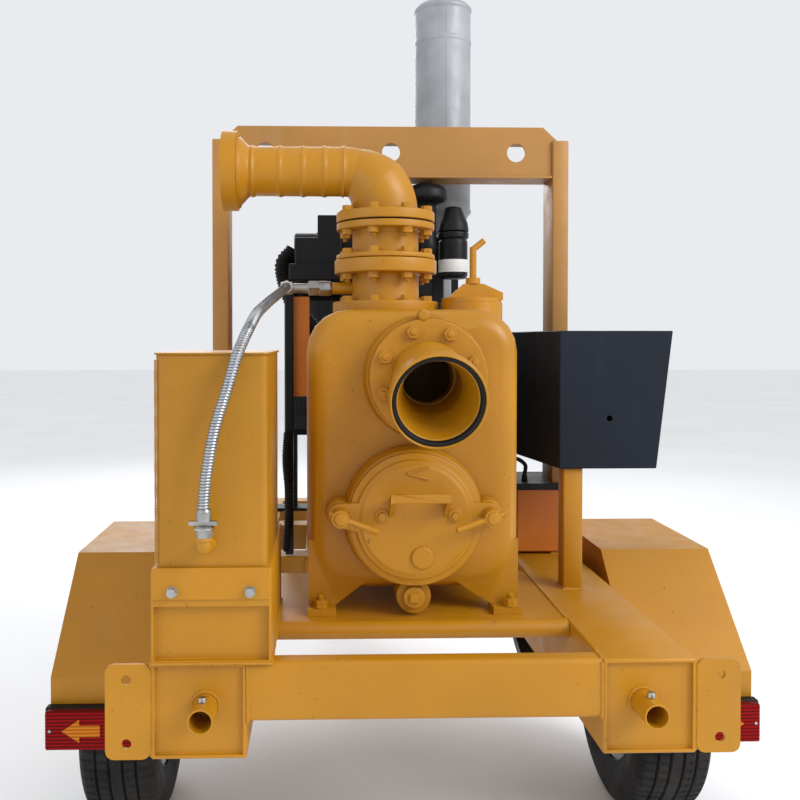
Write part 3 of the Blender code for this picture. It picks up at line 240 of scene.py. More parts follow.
def hexagon(centre, direction, across, height, chamfer=0.12, turn=0.0):
    """A hexagon prism: its radius is the flat's distance over the cosine of the angle from it."""
    along, side, up = axes_for(direction)
    angle = np.linspace(0, TAU, 24, endpoint=False)
    local = (angle + np.pi / 6) % (np.pi / 3) - np.pi / 6
    radius = across / 2 / np.cos(local)
    rim = np.minimum(radius, across / 2 * 1.06)
    ring = np.cos(angle + turn)[:, None] * side + np.sin(angle + turn)[:, None] * up
    rows = [(radius * 0, 0), (radius, 0), (radius, height * (1 - chamfer)), (rim, height), (rim * 0, height)]
    points = np.array([np.asarray(centre) + r[:, None] * ring + h * along for r, h in rows])
    return lattice(points, close_v=True)


def block(corner_low, corner_high):
    """A box's six sides as one closed grid of points."""
    a, b = np.asarray(corner_low, float), np.asarray(corner_high, float)
    corners = np.array([[x, y, z] for x in (a[0], b[0]) for y in (a[1], b[1]) for z in (a[2], b[2])])
    faces = [[0, 1, 3, 2], [4, 6, 7, 5], [0, 4, 5, 1], [2, 3, 7, 6], [0, 2, 6, 4], [1, 5, 7, 3]]
    return corners, faces


def bead(start, end, size=0.004, waves=0.006):
    """A weld bead: a low round ridge between two points, its radius a sum of two cosines of the distance."""
    start, end = np.asarray(start, float), np.asarray(end, float)
    length = np.linalg.norm(end - start)
    t = np.linspace(0, 1, max(int(length / waves) * 4, 8))
    size = size * (1 + 0.16 * np.cos(TAU * t * length / waves) + 0.10 * np.sin(TAU * t * length / 0.047))
    return carried(start + t[:, None] * (end - start), size, steps=8)


def ring_bead(centre, direction, radius, size=0.004, waves=0.006):
    """A weld bead all the way round a pipe, its radius a cosine of the distance round."""
    angle = np.linspace(0, TAU, int(TAU * radius / waves) * 3, endpoint=False)
    thick = size * (1 + 0.16 * np.cos(angle * radius / waves * TAU))
    return carried(ring_of(centre, direction, radius, angle), thick, steps=8, closed=True)


def ringed(loop, centre, direction, radius=0.002, steps=72):
    """A closed loop of (radius, height) points spun round an axis, as for a flange with its bore."""
    seam = tuple((np.array(loop[0]) + np.array(loop[-1])) / 2)
    return turned([seam, *loop, seam], centre, direction, radius, steps)


def hose_run(points, radius, wave=0.0, pitch=0.012, steps=18):
    """A hose through points; wave is the height of its ribs, a cosine of the distance run."""
    line = smooth_path(points, 24)
    path, even = even_run(line, lambda length: max(int(length / pitch * 6), 24) if wave else 48)
    return carried(path, radius + wave * np.cos(TAU * even / pitch), steps)


# ---------------------------------------------------------------- making pieces
def make_piece(name, parts, look, body="root", stands_for=(), sharp=35, edge=0.0):
    """Puts gathered surfaces into a mesh object that rides on a body."""
    points, faces = gather(parts)
    mesh = bpy.data.meshes.new(name)
    mesh.from_pydata(points.tolist(), [], faces)
    work = bmesh.new()
    work.from_mesh(mesh)
    bmesh.ops.remove_doubles(work, verts=work.verts, dist=1e-6)
    bmesh.ops.dissolve_degenerate(work, dist=1e-6, edges=work.edges)
    bmesh.ops.recalc_face_normals(work, faces=work.faces)
    return finish_piece(name, mesh, work, look, body, stands_for, sharp, edge)


def refined(nodes, look, edge, sharp=32):
    """Merged copies of nodes' meshes with rounded edges and smooth shading, each standing for its node."""
    for node in nodes.split():
        work = bmesh.new()
        work.from_mesh(frame["nodes"][node].data)
        bmesh.ops.remove_doubles(work, verts=work.verts, dist=1e-5)
        bmesh.ops.dissolve_limit(work, angle_limit=np.radians(0.6), verts=work.verts, edges=work.edges)
        bodies = frame["record"]["behaviour"]["bodies"].items()
        body = next((body for body, members in bodies if node in members), "root")
        name = f"{node}_skin"
        finish_piece(name, bpy.data.meshes.new(name), work, look, body, (node,), sharp, edge)


def finish_piece(name, mesh, work, look, body, stands_for, sharp, edge):
    """Shades a mesh, gives it its material, rounds its edges and hands it to the frame."""
    work.to_mesh(mesh)
    work.free()
    mesh.shade_smooth()
    mesh.set_sharp_from_angle(angle=np.radians(sharp))
    mesh.materials.append(material(look))
    piece = linked(name, mesh)
    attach(piece, body)
    if stands_for:
        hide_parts(*stands_for)
    if edge:
        step = piece.modifiers.new("edges", "BEVEL")
        step.width = edge
        step.segments = 2
        step.limit_method = "ANGLE"
        step.angle_limit = EDGE_ANGLE
        step.harden_normals = True
    return piece


# ---------------------------------------------------------------- finishes
def tone(red, green, blue):
    """A screen colour, each part from 0 to 255, as the linear colour that a shader takes."""
    part = np.array([red, green, blue]) / 255
    linear = np.where(part <= 0.04045, part / 12.92, ((part + 0.055) / 1.055) ** 2.4)
    return (*linear.tolist(), 1.0)


class Finish:
    """A node material under construction, with the Principled shader as .shader."""

    def __init__(self, name, **shader):
        self.made = bpy.data.materials.new(f"{name}_finish")
        self.made.use_nodes = True
        self.tree = self.made.node_tree
        self.shader = self.tree.nodes["Principled BSDF"]
        for socket, value in shader.items():
            self.shader.inputs[socket.replace("_", " ")].default_value = value
        self.place = self.node("ShaderNodeTexCoord").outputs["Object"]

    def node(self, kind, settings=None, feeds=None, **inputs):
        """A node with its settings and its inputs, by name or number, each a value or another node's output."""
        made = self.tree.nodes.new(kind)
        for key, value in (settings or {}).items():
            setattr(made, key, value)
        named = {key.replace("_", " "): value for key, value in inputs.items()}
        for key, value in {**(feeds or {}), **named}.items():
            if isinstance(value, bpy.types.NodeSocket):
                self.tree.links.new(value, made.inputs[key])
            else:
                made.inputs[key].default_value = value
        return made

    def noise(self, scale, detail=4.0, rough=0.55, stretch=None):
        """Fractal noise over the object's own coordinates, stretched along an axis if asked."""
        where = self.place
        if stretch:
            where = self.node("ShaderNodeMapping", Vector=where, Scale=stretch).outputs["Vector"]
        return self.node(
            "ShaderNodeTexNoise", Vector=where, Scale=scale, Detail=detail, Roughness=rough
        ).outputs["Fac"]

    def span(self, value, start, end, low=0.0, high=1.0):
        """A value carried from one range to another, held at its ends."""
        feeds = dict(enumerate((value, start, end, low, high)))
        return self.node("ShaderNodeMapRange", feeds=feeds).outputs["Result"]

    def mix(self, amount, first, second):
        """Two colours mixed by an amount."""
        feeds = {0: amount, 6: first, 7: second}
        return self.node("ShaderNodeMix", {"data_type": "RGBA"}, feeds).outputs[2]

    def math(self, operation, first, second):
        """Two values put through one operation."""
        return self.node("ShaderNodeMath", {"operation": operation}, {0: first, 1: second}).outputs[0]

    def ribs(self, axis, pitch):
        """A sine of the place along an axis, one wave to each pitch."""
        split = self.node("ShaderNodeSeparateXYZ", Vector=self.place)
        return self.math("SINE", self.math("MULTIPLY", split.outputs[axis], TAU / pitch), 0.0)

    def coat(self, base, gloss=None):
        """Feeds the shader's colour and, if given, its roughness."""
        self.tree.links.new(base, self.shader.inputs["Base Color"])
        if gloss:
            self.tree.links.new(gloss, self.shader.inputs["Roughness"])

    def bump(self, height, distance):
        """Adds relief, in metres, to the relief that is there."""
        made = self.node("ShaderNodeBump", Height=height, Distance=distance, Strength=1.0)
        normal = self.shader.inputs["Normal"]
        if normal.is_linked:
            self.tree.links.new(normal.links[0].from_socket, made.inputs["Normal"])
        self.tree.links.new(made.outputs["Normal"], normal)


def paint_finish(look, colour, dull, worn, gloss, grain=0.00012, casting=0.0, chips=0.70, shine=0.42):
    """Sprayed paint: broad drifts of tone, dust streaks that run down, small chips and orange peel."""
    finish = Finish(look, Specular_IOR_Level=shine)
    base = finish.mix(finish.span(finish.noise(2.3, 5.0), 0.38, 0.66), tone(*colour), tone(*dull))
    streak = finish.span(finish.noise(9.0, 6.0, 0.6, (1.0, 1.0, 0.13)), 0.56, 0.80, 0.0, 0.35)
    base = finish.mix(streak, base, tone(*worn))
    speck = finish.span(finish.noise(58.0, 3.0, 0.7), chips, chips + 0.03, 0.0, 0.75)
    base = finish.mix(speck, base, tone(*[part * 0.42 for part in worn]))
    finish.coat(base, finish.span(finish.noise(14.0, 4.0), 0.3, 0.7, gloss - 0.06, gloss + 0.12))
    finish.bump(finish.noise(210.0, 2.0), grain)
    if casting:
        finish.bump(finish.noise(46.0, 5.0, 0.62), casting)
    return finish.made


def metal_finish(look, colour, dull, gloss, brush=None, grain=0.00006, metallic=1.0):
    """Bare or plated metal: two tones in drifts, roughness that varies, and a brushed or grainy surface."""
    finish = Finish(look, Metallic=metallic)
    base = finish.mix(finish.span(finish.noise(11.0, 5.0), 0.36, 0.68), tone(*colour), tone(*dull))
    finish.coat(base, finish.span(finish.noise(24.0, 5.0, 0.6, brush), 0.3, 0.72, gloss - 0.08, gloss + 0.16))
    finish.bump(finish.noise(260.0, 3.0, 0.6, brush), grain)
    return finish.made


def plastic_finish(look, colour, dull, gloss, grain=0.00010, scale=320.0):
    """Moulded plastic or rubber: fine even grain, faint dust in drifts."""
    finish = Finish(look, Specular_IOR_Level=0.25)
    dust = finish.span(finish.noise(5.5, 6.0, 0.6), 0.45, 0.78, 0.0, 0.55)
    base = finish.mix(dust, tone(*colour), tone(*dull))
    finish.coat(base, finish.span(finish.noise(17.0, 4.0), 0.3, 0.7, gloss - 0.05, gloss + 0.12))
    finish.bump(finish.noise(scale, 2.0), grain)
    return finish.made


def lens_finish(look, colour, dark):
    """Moulded lens: a deep colour with prism ribs from a sine of the height; the sine also paints shade on part
    of each rib.
    """
    finish = Finish(look, Roughness=0.30, Specular_IOR_Level=0.10)
    wave = finish.ribs("Z", 0.009)
    # Painted shade: part of each rib takes the darker copy of the lens colour, as if turned away from the light.
    finish.coat(finish.mix(finish.span(wave, -1.0, 1.0), tone(*colour), tone(*dark)))
    finish.bump(wave, 0.0006)
    return finish.made


def braid_finish(look):
    """Corrugated steel hose: a painted highlight on the crests and painted shade in the grey valleys between the
    waves of its own mesh.
    """
    finish = Finish(look, Metallic=0.85)
    # Painted light: the attribute read here makes the steel bright on each crest and shaded grey in each valley.
    crest_shading = finish.node("ShaderNodeAttribute", {"attribute_name": "crest_shading"}).outputs["Fac"]
    base = finish.mix(crest_shading, tone(96, 98, 101), tone(196, 199, 203))
    base = finish.mix(finish.span(finish.noise(30.0, 4.0), 0.5, 0.8, 0.0, 0.5), base, tone(150, 138, 116))
    finish.coat(base, finish.span(finish.noise(60.0, 3.0), 0.3, 0.7, 0.26, 0.46))
    finish.bump(finish.noise(420.0, 2.0), 0.00008)
    return finish.made


def fin_finish(look):
    """Radiator core: thin upright fins from a fast sine across X, with painted shade in the gaps between them and
    a painted highlight on their edges.
    """
    finish = Finish(look, Metallic=0.3)
    wave = finish.ribs("X", 0.006)
    # Painted light: near-black shade in the gaps between fins, a lighter grey highlight on the fin edges.
    base = finish.mix(finish.span(wave, -1.0, 1.0), tone(9, 9, 10), tone(42, 43, 44))
    finish.coat(base, finish.span(finish.noise(20.0), 0.3, 0.7, 0.45, 0.7))
    finish.bump(wave, 0.001)
    return finish.made


DUST = (150, 116, 62)
# Each look's slot in the record, its maker and what the maker takes. A pair such as ("paint", 0.93) is a colour
# of the panel's, times a share.
FINISHES = {
    "yellow": ("body_yellow", paint_finish, ("paint", 1), ("paint", 0.93), DUST, 0.40),
    "tank_yellow": ("body_yellow", paint_finish, ("paint", 0.96), ("paint", 0.88), DUST, 0.36, 0.0002),
    "cast_yellow": ("body_yellow", paint_finish, ("paint", 1), ("paint", 0.90), DUST, 0.38, 0.00015, 0.0007),
    # Painted light: a lighter, paler copy of the body paint for the inside of the suction cup.
    "cup_lit_yellow": ("body_yellow", paint_finish, (206, 150, 48), (176, 122, 36), DUST, 0.33),
    "guard_orange": ("body_yellow", paint_finish, (206, 118, 34), (176, 96, 26), DUST, 0.42),
    "arch_yellow": ("arch_yellow", paint_finish, ("arch", 1), ("arch", 0.92), (168, 142, 112), 0.46),
    "black_paint": (
        "black_paint", paint_finish, (22, 23, 25), (30, 30, 31), (60, 57, 52), 0.42, 0.0001, 0.0, 0.70, 0.22),
    "engine_black": (
        "engine_black", paint_finish, (19, 21, 24), (30, 31, 33),
        (50, 47, 42), 0.40, 0.0002, 0.0009, 0.70, 0.22),
    "radiator_black": (
        "radiator_black", paint_finish, (15, 16, 18), (27, 28, 30),
        (50, 48, 44), 0.45, 0.00012, 0.0, 0.70, 0.2),
    "box_black": (
        "box_black", paint_finish, ("box", 1), ("box", 0.86), (50, 55, 64), 0.52, 0.0003, 0.0, 0.76, 0.18),
    "cast_iron": ("cast_iron", metal_finish, (88, 84, 80), (62, 54, 48), 0.55, None, 0.0003, 0.7),
    "zinc": ("zinc_steel", metal_finish, (186, 186, 182), (146, 146, 144), 0.30),
    "wheel_silver": ("wheel_silver", metal_finish, (168, 170, 172), (136, 138, 140), 0.40, None, 0.0001, 0.6),
    "muffler_silver": (
        "muffler_silver", metal_finish, (158, 161, 166),
        (142, 145, 150), 0.44, (1.0, 1.0, 0.30), 0.00005, 0.12),
    "rubber": ("rubber", plastic_finish, (13, 12, 12), (34, 32, 30), 0.55),
    # Painted shade: near-black discs set in holes and bores that are dark with shade; filed under the rubber
    # slot.
    "hole_shade": ("rubber", plastic_finish, (9, 8, 8), (14, 13, 12), 0.80),
    "tyre": ("tyre", plastic_finish, (24, 24, 25), (66, 61, 55), 0.66, 0.00025, 150.0),
    "fan_plastic": ("fan_plastic", plastic_finish, (26, 27, 30), (58, 56, 54), 0.42),
    "panel_grey": ("panel_grey", plastic_finish, (128, 131, 134), (108, 110, 112), 0.46, 0.00015),
    "label_white": ("panel_grey", plastic_finish, (226, 227, 226), (188, 187, 182), 0.40, 0.00003),
    "button_red": ("button_red", plastic_finish, (178, 24, 20), (130, 22, 20), 0.30, 0.00003),
    "red_lens": ("red_lens", lens_finish, ("lens", 1), ("lens", 0.55)),
    "amber_lens": ("red_lens", lens_finish, (214, 130, 30), (170, 92, 20)),
    "radiator_fins": ("radiator_black", fin_finish),
    "hose_steel": ("braided_hose", braid_finish),
}


def material(look):
    """The material of a finish, built once."""
    found = bpy.data.materials.get(f"{look}_finish")
    if found:
        return found
    _, maker, *given = FINISHES[look]
    colours = bpy.context.scene.pump_colours
    for index, value in enumerate(given):
        if isinstance(value, tuple) and isinstance(value[0], str):
            given[index] = tuple(255 * value[1] * np.array(getattr(colours, value[0])))
    return maker(look, *given)


# ---------------------------------------------------------------- fasteners
def bolt_head(centre, direction, across=0.019, height=0.008, washer=True):
    """A hexagon head with a domed middle over a washer, standing on a surface."""
    centre, direction = np.asarray(centre, float), np.asarray(direction, float)
    direction = direction / np.linalg.norm(direction)
    parts = [hexagon(centre + direction * 0.002, direction, across, height, 0.16)]
    if washer:
        rim = across * 0.62
        parts.append(turned([(0, 0), (rim, 0), (rim, 0.0022), (0, 0.0022)], centre, direction, 0.0006, 28, 3))
    return parts


def stud_and_nut(centre, direction, across=0.019, height=0.012, stud=0.008, radius=0.006):
    """A nut on a washer with a threaded stud's end standing out of it."""
    centre, direction = np.asarray(centre, float), np.asarray(direction, float)
    parts = bolt_head(centre, direction, across, height)
    end = height + stud
    rows = [(0, 0), (radius, 0)]
    for turn in np.arange(height, end, 0.0015):
        rows += [(radius, turn), (radius * 0.86, turn + 0.00075)]
    rows += [(radius * 0.8, end), (0, end)]
    return parts + [turned(rows, centre + direction * 0.002, direction, 0.0002, 20, 2)]


# ---------------------------------------------------------------- hose
def build_hose(ring_pitch):
    """The air-release hose: radius = mean + wave * cosine of the distance run, over the ring pitch."""
    line = smooth_path(HOSE_ROUTE, 40)
    path, even = even_run(line, lambda length: int(length / ring_pitch * 6))
    wave = 0.5 + 0.5 * np.cos(TAU * even / ring_pitch)
    hose = carried(path, 0.0112 + 0.0013 * wave, steps=20)
    piece = make_piece("air_hose", [hose], "hose_steel", stands_for=("bleed_hose",), sharp=80)
    corners = np.array([corner.co for corner in piece.data.vertices])
    nearest = np.array([np.abs(path - corner).sum(axis=1).argmin() for corner in corners])
    # Each point's wave is stored for the hose finish, which paints a highlight on the crests and shade in the
    # valleys.
    crest_shading = piece.data.attributes.new("crest_shading", "FLOAT", "POINT")
    crest_shading.data.foreach_set("value", wave[nearest].astype(np.float32))


def build_hose_fittings():
    """The tank's elbow with its nut, and the swivel, adaptor and nipple where the hose meets the stack."""
    foot, top = HOSE_ROUTE[0], HOSE_ROUTE[-1]
    wall = np.array([foot[0], high("tank_elbow")[1], low("tank_elbow")[2] + 0.018])
    knee = np.array([foot[0], foot[1], wall[2]])
    turns = [wall, wall + [0, -0.020, 0], knee + [0, 0.009, 0.003], knee + [0, 0, 0.013], foot - 0.036 * Z]
    route = smooth_path(turns, 10)
    flare = 0.0145 + 0.0035 * np.exp(-((np.arange(len(route)) / 5.0) ** 2))
    parts = [carried(route, flare, 28)]
    parts.append(turned([(0.0, 0), (0.0175, 0), (0.0175, 0.006),
    (0.014, 0.009)], foot - 0.044 * Z, Z, 0.001, 36))
    make_piece("tank_elbow_cast", parts, "yellow", stands_for=("tank_elbow",))
    collar = [(0, 0), (0.021, 0), (0.022, 0.004), (0.0145, 0.009), (0, 0.009)]
    ferrule = [(0.0128, 0), (0.0155, 0), (0.0155, 0.020), (0.0135, 0.024), (0.0122, 0.024)]
    make_piece("hose_foot_nut", [
        hexagon(foot - 0.037 * Z, Z, 0.031, 0.017, 0.14), turned(collar, foot - 0.021 * Z, Z, 0.0008, 40),
        block(foot + [-0.030, -0.006, -0.012], foot + [0.027, 0.006, -0.004]),
        turned(ferrule, foot - 0.004 * Z, Z, 0.0007, 36),
    ], "zinc")
    knuckle = np.array([top[0], STACK[1], top[2]])
    tail = [(0, 0), (0.0165, 0.0), (0.0175, 0.004), (0.0150, 0.012), (0.0150, 0.030), (0, 0.030)]
    ball = [(0, -0.019), (0.0165, -0.018), (0.0175, -0.008), (0.0175, 0.014), (0.015, 0.018), (0, 0.019)]
    stem = [(0, 0.010), (0.0135, 0.014), (0.0135, 0.058), (0.0160, 0.062), (0.0160, 0.066), (0, 0.066)]
    adaptor = [(0, 0.088), (0.021, 0.090), (0.021, 0.120), (0.0175, 0.126), (0, 0.126)]
    make_piece("hose_swivel", [
        turned(tail, top - 0.012 * Y, Y, 0.001, 36), turned(ball, knuckle, X, 0.002, 36),
        turned(stem, knuckle, X, 0.001, 36), hexagon(knuckle + 0.060 * X, X, 0.040, 0.030, 0.10),
        turned(adaptor, knuckle, X, 0.002, 40),
    ], "zinc", stands_for=("hose_fitting",))
    reach = low("lower_spool")[0] + 0.052 - knuckle[0] - 0.118
    nipple = [(0, 0), (0.0165, 0), (0.0165, reach), (0, reach)]
    make_piece("hose_nipple", [turned(nipple, knuckle + 0.122 * X, X, 0.001, 36)], "yellow")


# ---------------------------------------------------------------- stage
LAMPS = (  # name, place, width in metres and power in watts
    ("key", (4.2, -3.9, 4.4), 3.0, 235), ("fill", (-4.4, -4.6, 3.0), 3.8, 45),
    ("back", (-1.0, 5.4, 4.6), 3.4, 150),
)
SKY_COLOUR, SKY_STRENGTH = (0.95, 0.97, 1.0, 1), 0.86
LENS, LENS_SHIFT = 39.64, (0.0697, -0.0554)
CAMERA_PLACE = (-0.2205, REAR - 1.8296, 1.4543)
CAMERA_HEADING, CAMERA_DIP = -0.0268, 0.0174
FLOOR_HALF = 40.0


def linked(name, data):
    """An object for this data, in the scene."""
    made = bpy.data.objects.new(name, data)
    bpy.context.scene.collection.objects.link(made)
    return made


def build_stage():
    """Floor, three soft lights, an even sky and the camera."""
    mesh = bpy.data.meshes.new("floor")
    corners = [(x * FLOOR_HALF, y * FLOOR_HALF, 0) for x, y in ((-1, -1), (1, -1), (1, 1), (-1, 1))]
    mesh.from_pydata(corners, [], [(0, 1, 2, 3)])
    ground = Finish("floor", Roughness=0.8)
    drift = ground.span(ground.noise(0.7, 3.0), 0.3, 0.7)
    ground.coat(ground.mix(drift, tone(246, 246, 246), tone(240, 240, 241)))
    mesh.materials.append(ground.made)
    linked("floor", mesh)
    scene = bpy.context.scene
    scene.world = bpy.data.worlds.new("studio")
    scene.world.use_nodes = True
    sky = scene.world.node_tree.nodes["Background"]
    sky.inputs["Color"].default_value = SKY_COLOUR
    sky.inputs["Strength"].default_value = SKY_STRENGTH
    centre = Vector(((CAD_BOX[0] + CAD_BOX[1]) / 2)[:])
    for name, place, size, power in LAMPS:
        lamp = bpy.data.lights.new(name, "AREA")
        lamp.size = size
        lamp.energy = power
        light = linked(name, lamp)
        light.location = place
        light.rotation_euler = (centre - Vector(place)).to_track_quat("-Z", "Y").to_euler()
    lens = bpy.data.cameras.new("camera")
    lens.sensor_width = 36.0
    lens.lens = LENS
    lens.shift_x, lens.shift_y = LENS_SHIFT
    lens.clip_start = 0.05
    camera = linked("camera", lens)
    camera.location = CAMERA_PLACE
    turn = Matrix.Rotation(CAMERA_HEADING, 4, "Z") @ Matrix.Rotation(np.pi / 2 - CAMERA_DIP, 4, "X")
    camera.rotation_euler = turn.to_euler()
    scene.camera = camera
    scene.view_settings.view_transform = "Standard"


# ---------------------------------------------------------------- pump
def lug(start, end, start_radius, end_radius, near, far, rim=0.003):
    """A cast ear: the hull of two circles in the XZ plane, between two depths, with a rounded front edge."""
    start, end = np.asarray(start, float), np.asarray(end, float)
    along = unit(end - start)
    lean = np.arcsin((start_radius - end_radius) / np.linalg.norm(end - start))
    heading = np.arctan2(along[1], along[0])
    first = np.linspace(np.pi / 2 - lean, 3 * np.pi / 2 + lean, 20) + heading
    second = np.linspace(-np.pi / 2 + lean, np.pi / 2 - lean, 20) + heading
    outline = np.concatenate([
        start + start_radius * np.stack([np.cos(first), np.sin(first)], axis=1),
        end + end_radius * np.stack([np.cos(second), np.sin(second)], axis=1),
    ])
    heart = outline.mean(axis=0)
    inwards = unit(outline - heart) * rim
    rows = []
    steps = ((None, far), (0.0, far), (0.0, near + rim), (0.3, near + rim * 0.3), (1.0, near), (None, near))
    for shrink, depth in steps:
        flat = np.broadcast_to(heart, outline.shape) if shrink is None else outline - inwards * shrink
        rows.append(np.stack([flat[:, 0], np.full(len(flat), depth), flat[:, 1]], axis=1))
    return lattice(np.array(rows), close_v=True)


def build_suction():
    """Suction flange, tilted cup with its cone and rubber ring, and the flange's bolts."""
    cup = [
        (0.0685, -0.030), (0.0685, 0.080), (0.0905, 0.181), (0.1035, 0.181), (0.1035, 0.194), (0.1060, 0.196),
        (0.1095, 0.193), (0.1095, 0.158), (0.1045, 0.150), (0.0960, 0.085), (0.0900, 0.030), (0.0900, -0.004),
    ]
    flange = [(0.0700, 0.0), (0.1425, 0.0), (0.1425, 0.0265), (0.0700, 0.0265)]
    root = SUCTION + 0.004 * Y
    parts = [ringed(cup, root, PULL, 0.0035, SPIN_STEPS), ringed(flange, SUCTION, Y, 0.0035, SPIN_STEPS)]
    make_piece("suction_cup_cast", parts, "cast_yellow", stands_for=("suction_cup",))
    # Painted light: a thin cone in a lighter copy of the body paint lies on the cup's inner flare and lightens it
    # as if lit.
    cone = [(0.0690, 0.070), (0.0905, 0.1795), (0.0925, 0.1795), (0.0700, 0.068)]
    lit_cone = ringed(cone, root + 0.0002 * Y + PULL * 0.0005, PULL, 0.0004, SPIN_STEPS)
    make_piece("suction_cone", [lit_cone], "cup_lit_yellow")
    seal = [(0.0925, 0.1815), (0.1033, 0.1815), (0.1033, 0.1925), (0.0990, 0.1945), (0.0940, 0.1925)]
    ring = [ringed(seal, root, PULL, 0.002, SPIN_STEPS)]
    make_piece("suction_ring", ring, "rubber", stands_for=("suction_seal",))
    boss = [(0.080, 0.0268), (0.1485, 0.0268), (0.1495, 0.040), (0.1560, 0.066), (0.080, 0.066)]
    pad = [(0, -0.004), (0.013, -0.003), (0.0145, 0.004), (0.0145, 0.034), (0, 0.034)]
    parts = [ringed(boss, SUCTION, Y, 0.004, SPIN_STEPS)]
    parts.append(turned(pad, SUCTION + [-0.012, 0, 0.151], Y, 0.003, 32))
    make_piece("suction_boss", parts, "cast_yellow")
    bolts = []
    for spot in circle_of(SUCTION, -Y, 0.1165, 8, np.radians(19)):
        bolts += stud_and_nut(spot, -Y, 0.029, 0.012, 0.004, 0.008)
    make_piece("suction_bolts", bolts, "yellow")


def build_cover():
    """Clean-out cover: lathed disc, two ears, folded handle, cast arrow and boss, on the cover's body."""
    disc = [
        (0, 0.0015), (0.128, 0.0), (0.136, 0.0035), (0.1425, 0.0045), (0.1445, 0.0105), (0.1500, 0.0115),
        (0.1600, 0.0135), (0.1600, 0.026), (0.131, 0.026), (0.131, 0.069), (0.120, 0.069), (0.118, 0.030),
        (0, 0.030),
    ]
    parts = [turned(disc, COVER, Y, 0.0022, SPIN_STEPS)]
    face = COVER[1]
    for sign in (-1, 1):
        hub = (COVER[0] + sign * CLAMP_REACH, CLAMP_HEIGHT)
        parts.append(lug((COVER[0] + sign * 0.125, 1.030), hub, 0.036, 0.0285, face + 0.003, face + 0.024))
    boss = [(0, -0.006), (0.024, -0.006), (0.0275, -0.003), (0.029, 0.004), (0, 0.004)]
    parts.append(turned(boss, COVER + [0.016, 0, -0.090], Y, 0.0015, 40))
    make_piece("cover_disc", parts, "cast_yellow", "cover", ("front_cover",))
    bar_z, out = 1.086, face - 0.052
    handle = [block((-0.058, out - 0.005, bar_z - 0.011), (0.083, out + 0.005, bar_z + 0.011))]
    leg = [(face + 0.004, bar_z - 0.056), (out - 0.005, bar_z - 0.011), (out - 0.005, bar_z + 0.011),
           (face + 0.004, bar_z - 0.012)]
    for x in (-0.058, 0.073):
        ring = np.array([[[side, y, z] for y, z in leg] for side in (x, x + 0.010)])
        handle.append(lattice(ring, close_v=True, caps=True))
    pad = [(0, -0.004), (0.016, -0.004), (0.018, 0.0), (0.018, 0.006), (0, 0.006)]
    for x in (-0.075, 0.100):
        handle.append(turned(pad, (x, face, bar_z - 0.050), Y, 0.0012, 36))
        handle += bolt_head((x, face - 0.004, bar_z - 0.050), -Y, 0.017, 0.007, False)
    make_piece("cover_handle", handle, "yellow", "cover", edge=0.0018)
    tip, reach, rise = np.array([-0.016, face - 0.0005, 1.137]), 0.052, 0.014
    arrow = [carried(np.linspace(tip, tip + [reach, 0, sign * rise], 12), 0.0034, 10) for sign in (-1, 1)]
    make_piece("cover_arrow", arrow, "cast_yellow", "cover")
    refined("clamp_screw_left clamp_screw_right", "yellow", 0.0012)
    knob = [(0, -0.046), (0.0145, -0.044), (0.0165, -0.036), (0.0165, -0.016), (0.0150, -0.012), (0, -0.012)]
    for side, sign in (("left", -1), ("right", 1)):
        hub = (COVER[0] + sign * CLAMP_REACH, face, CLAMP_HEIGHT)
        make_piece(f"clamp_knob_{side}", [turned(knob, hub, Y, 0.002, 40)], "yellow", f"clamp_{side}")


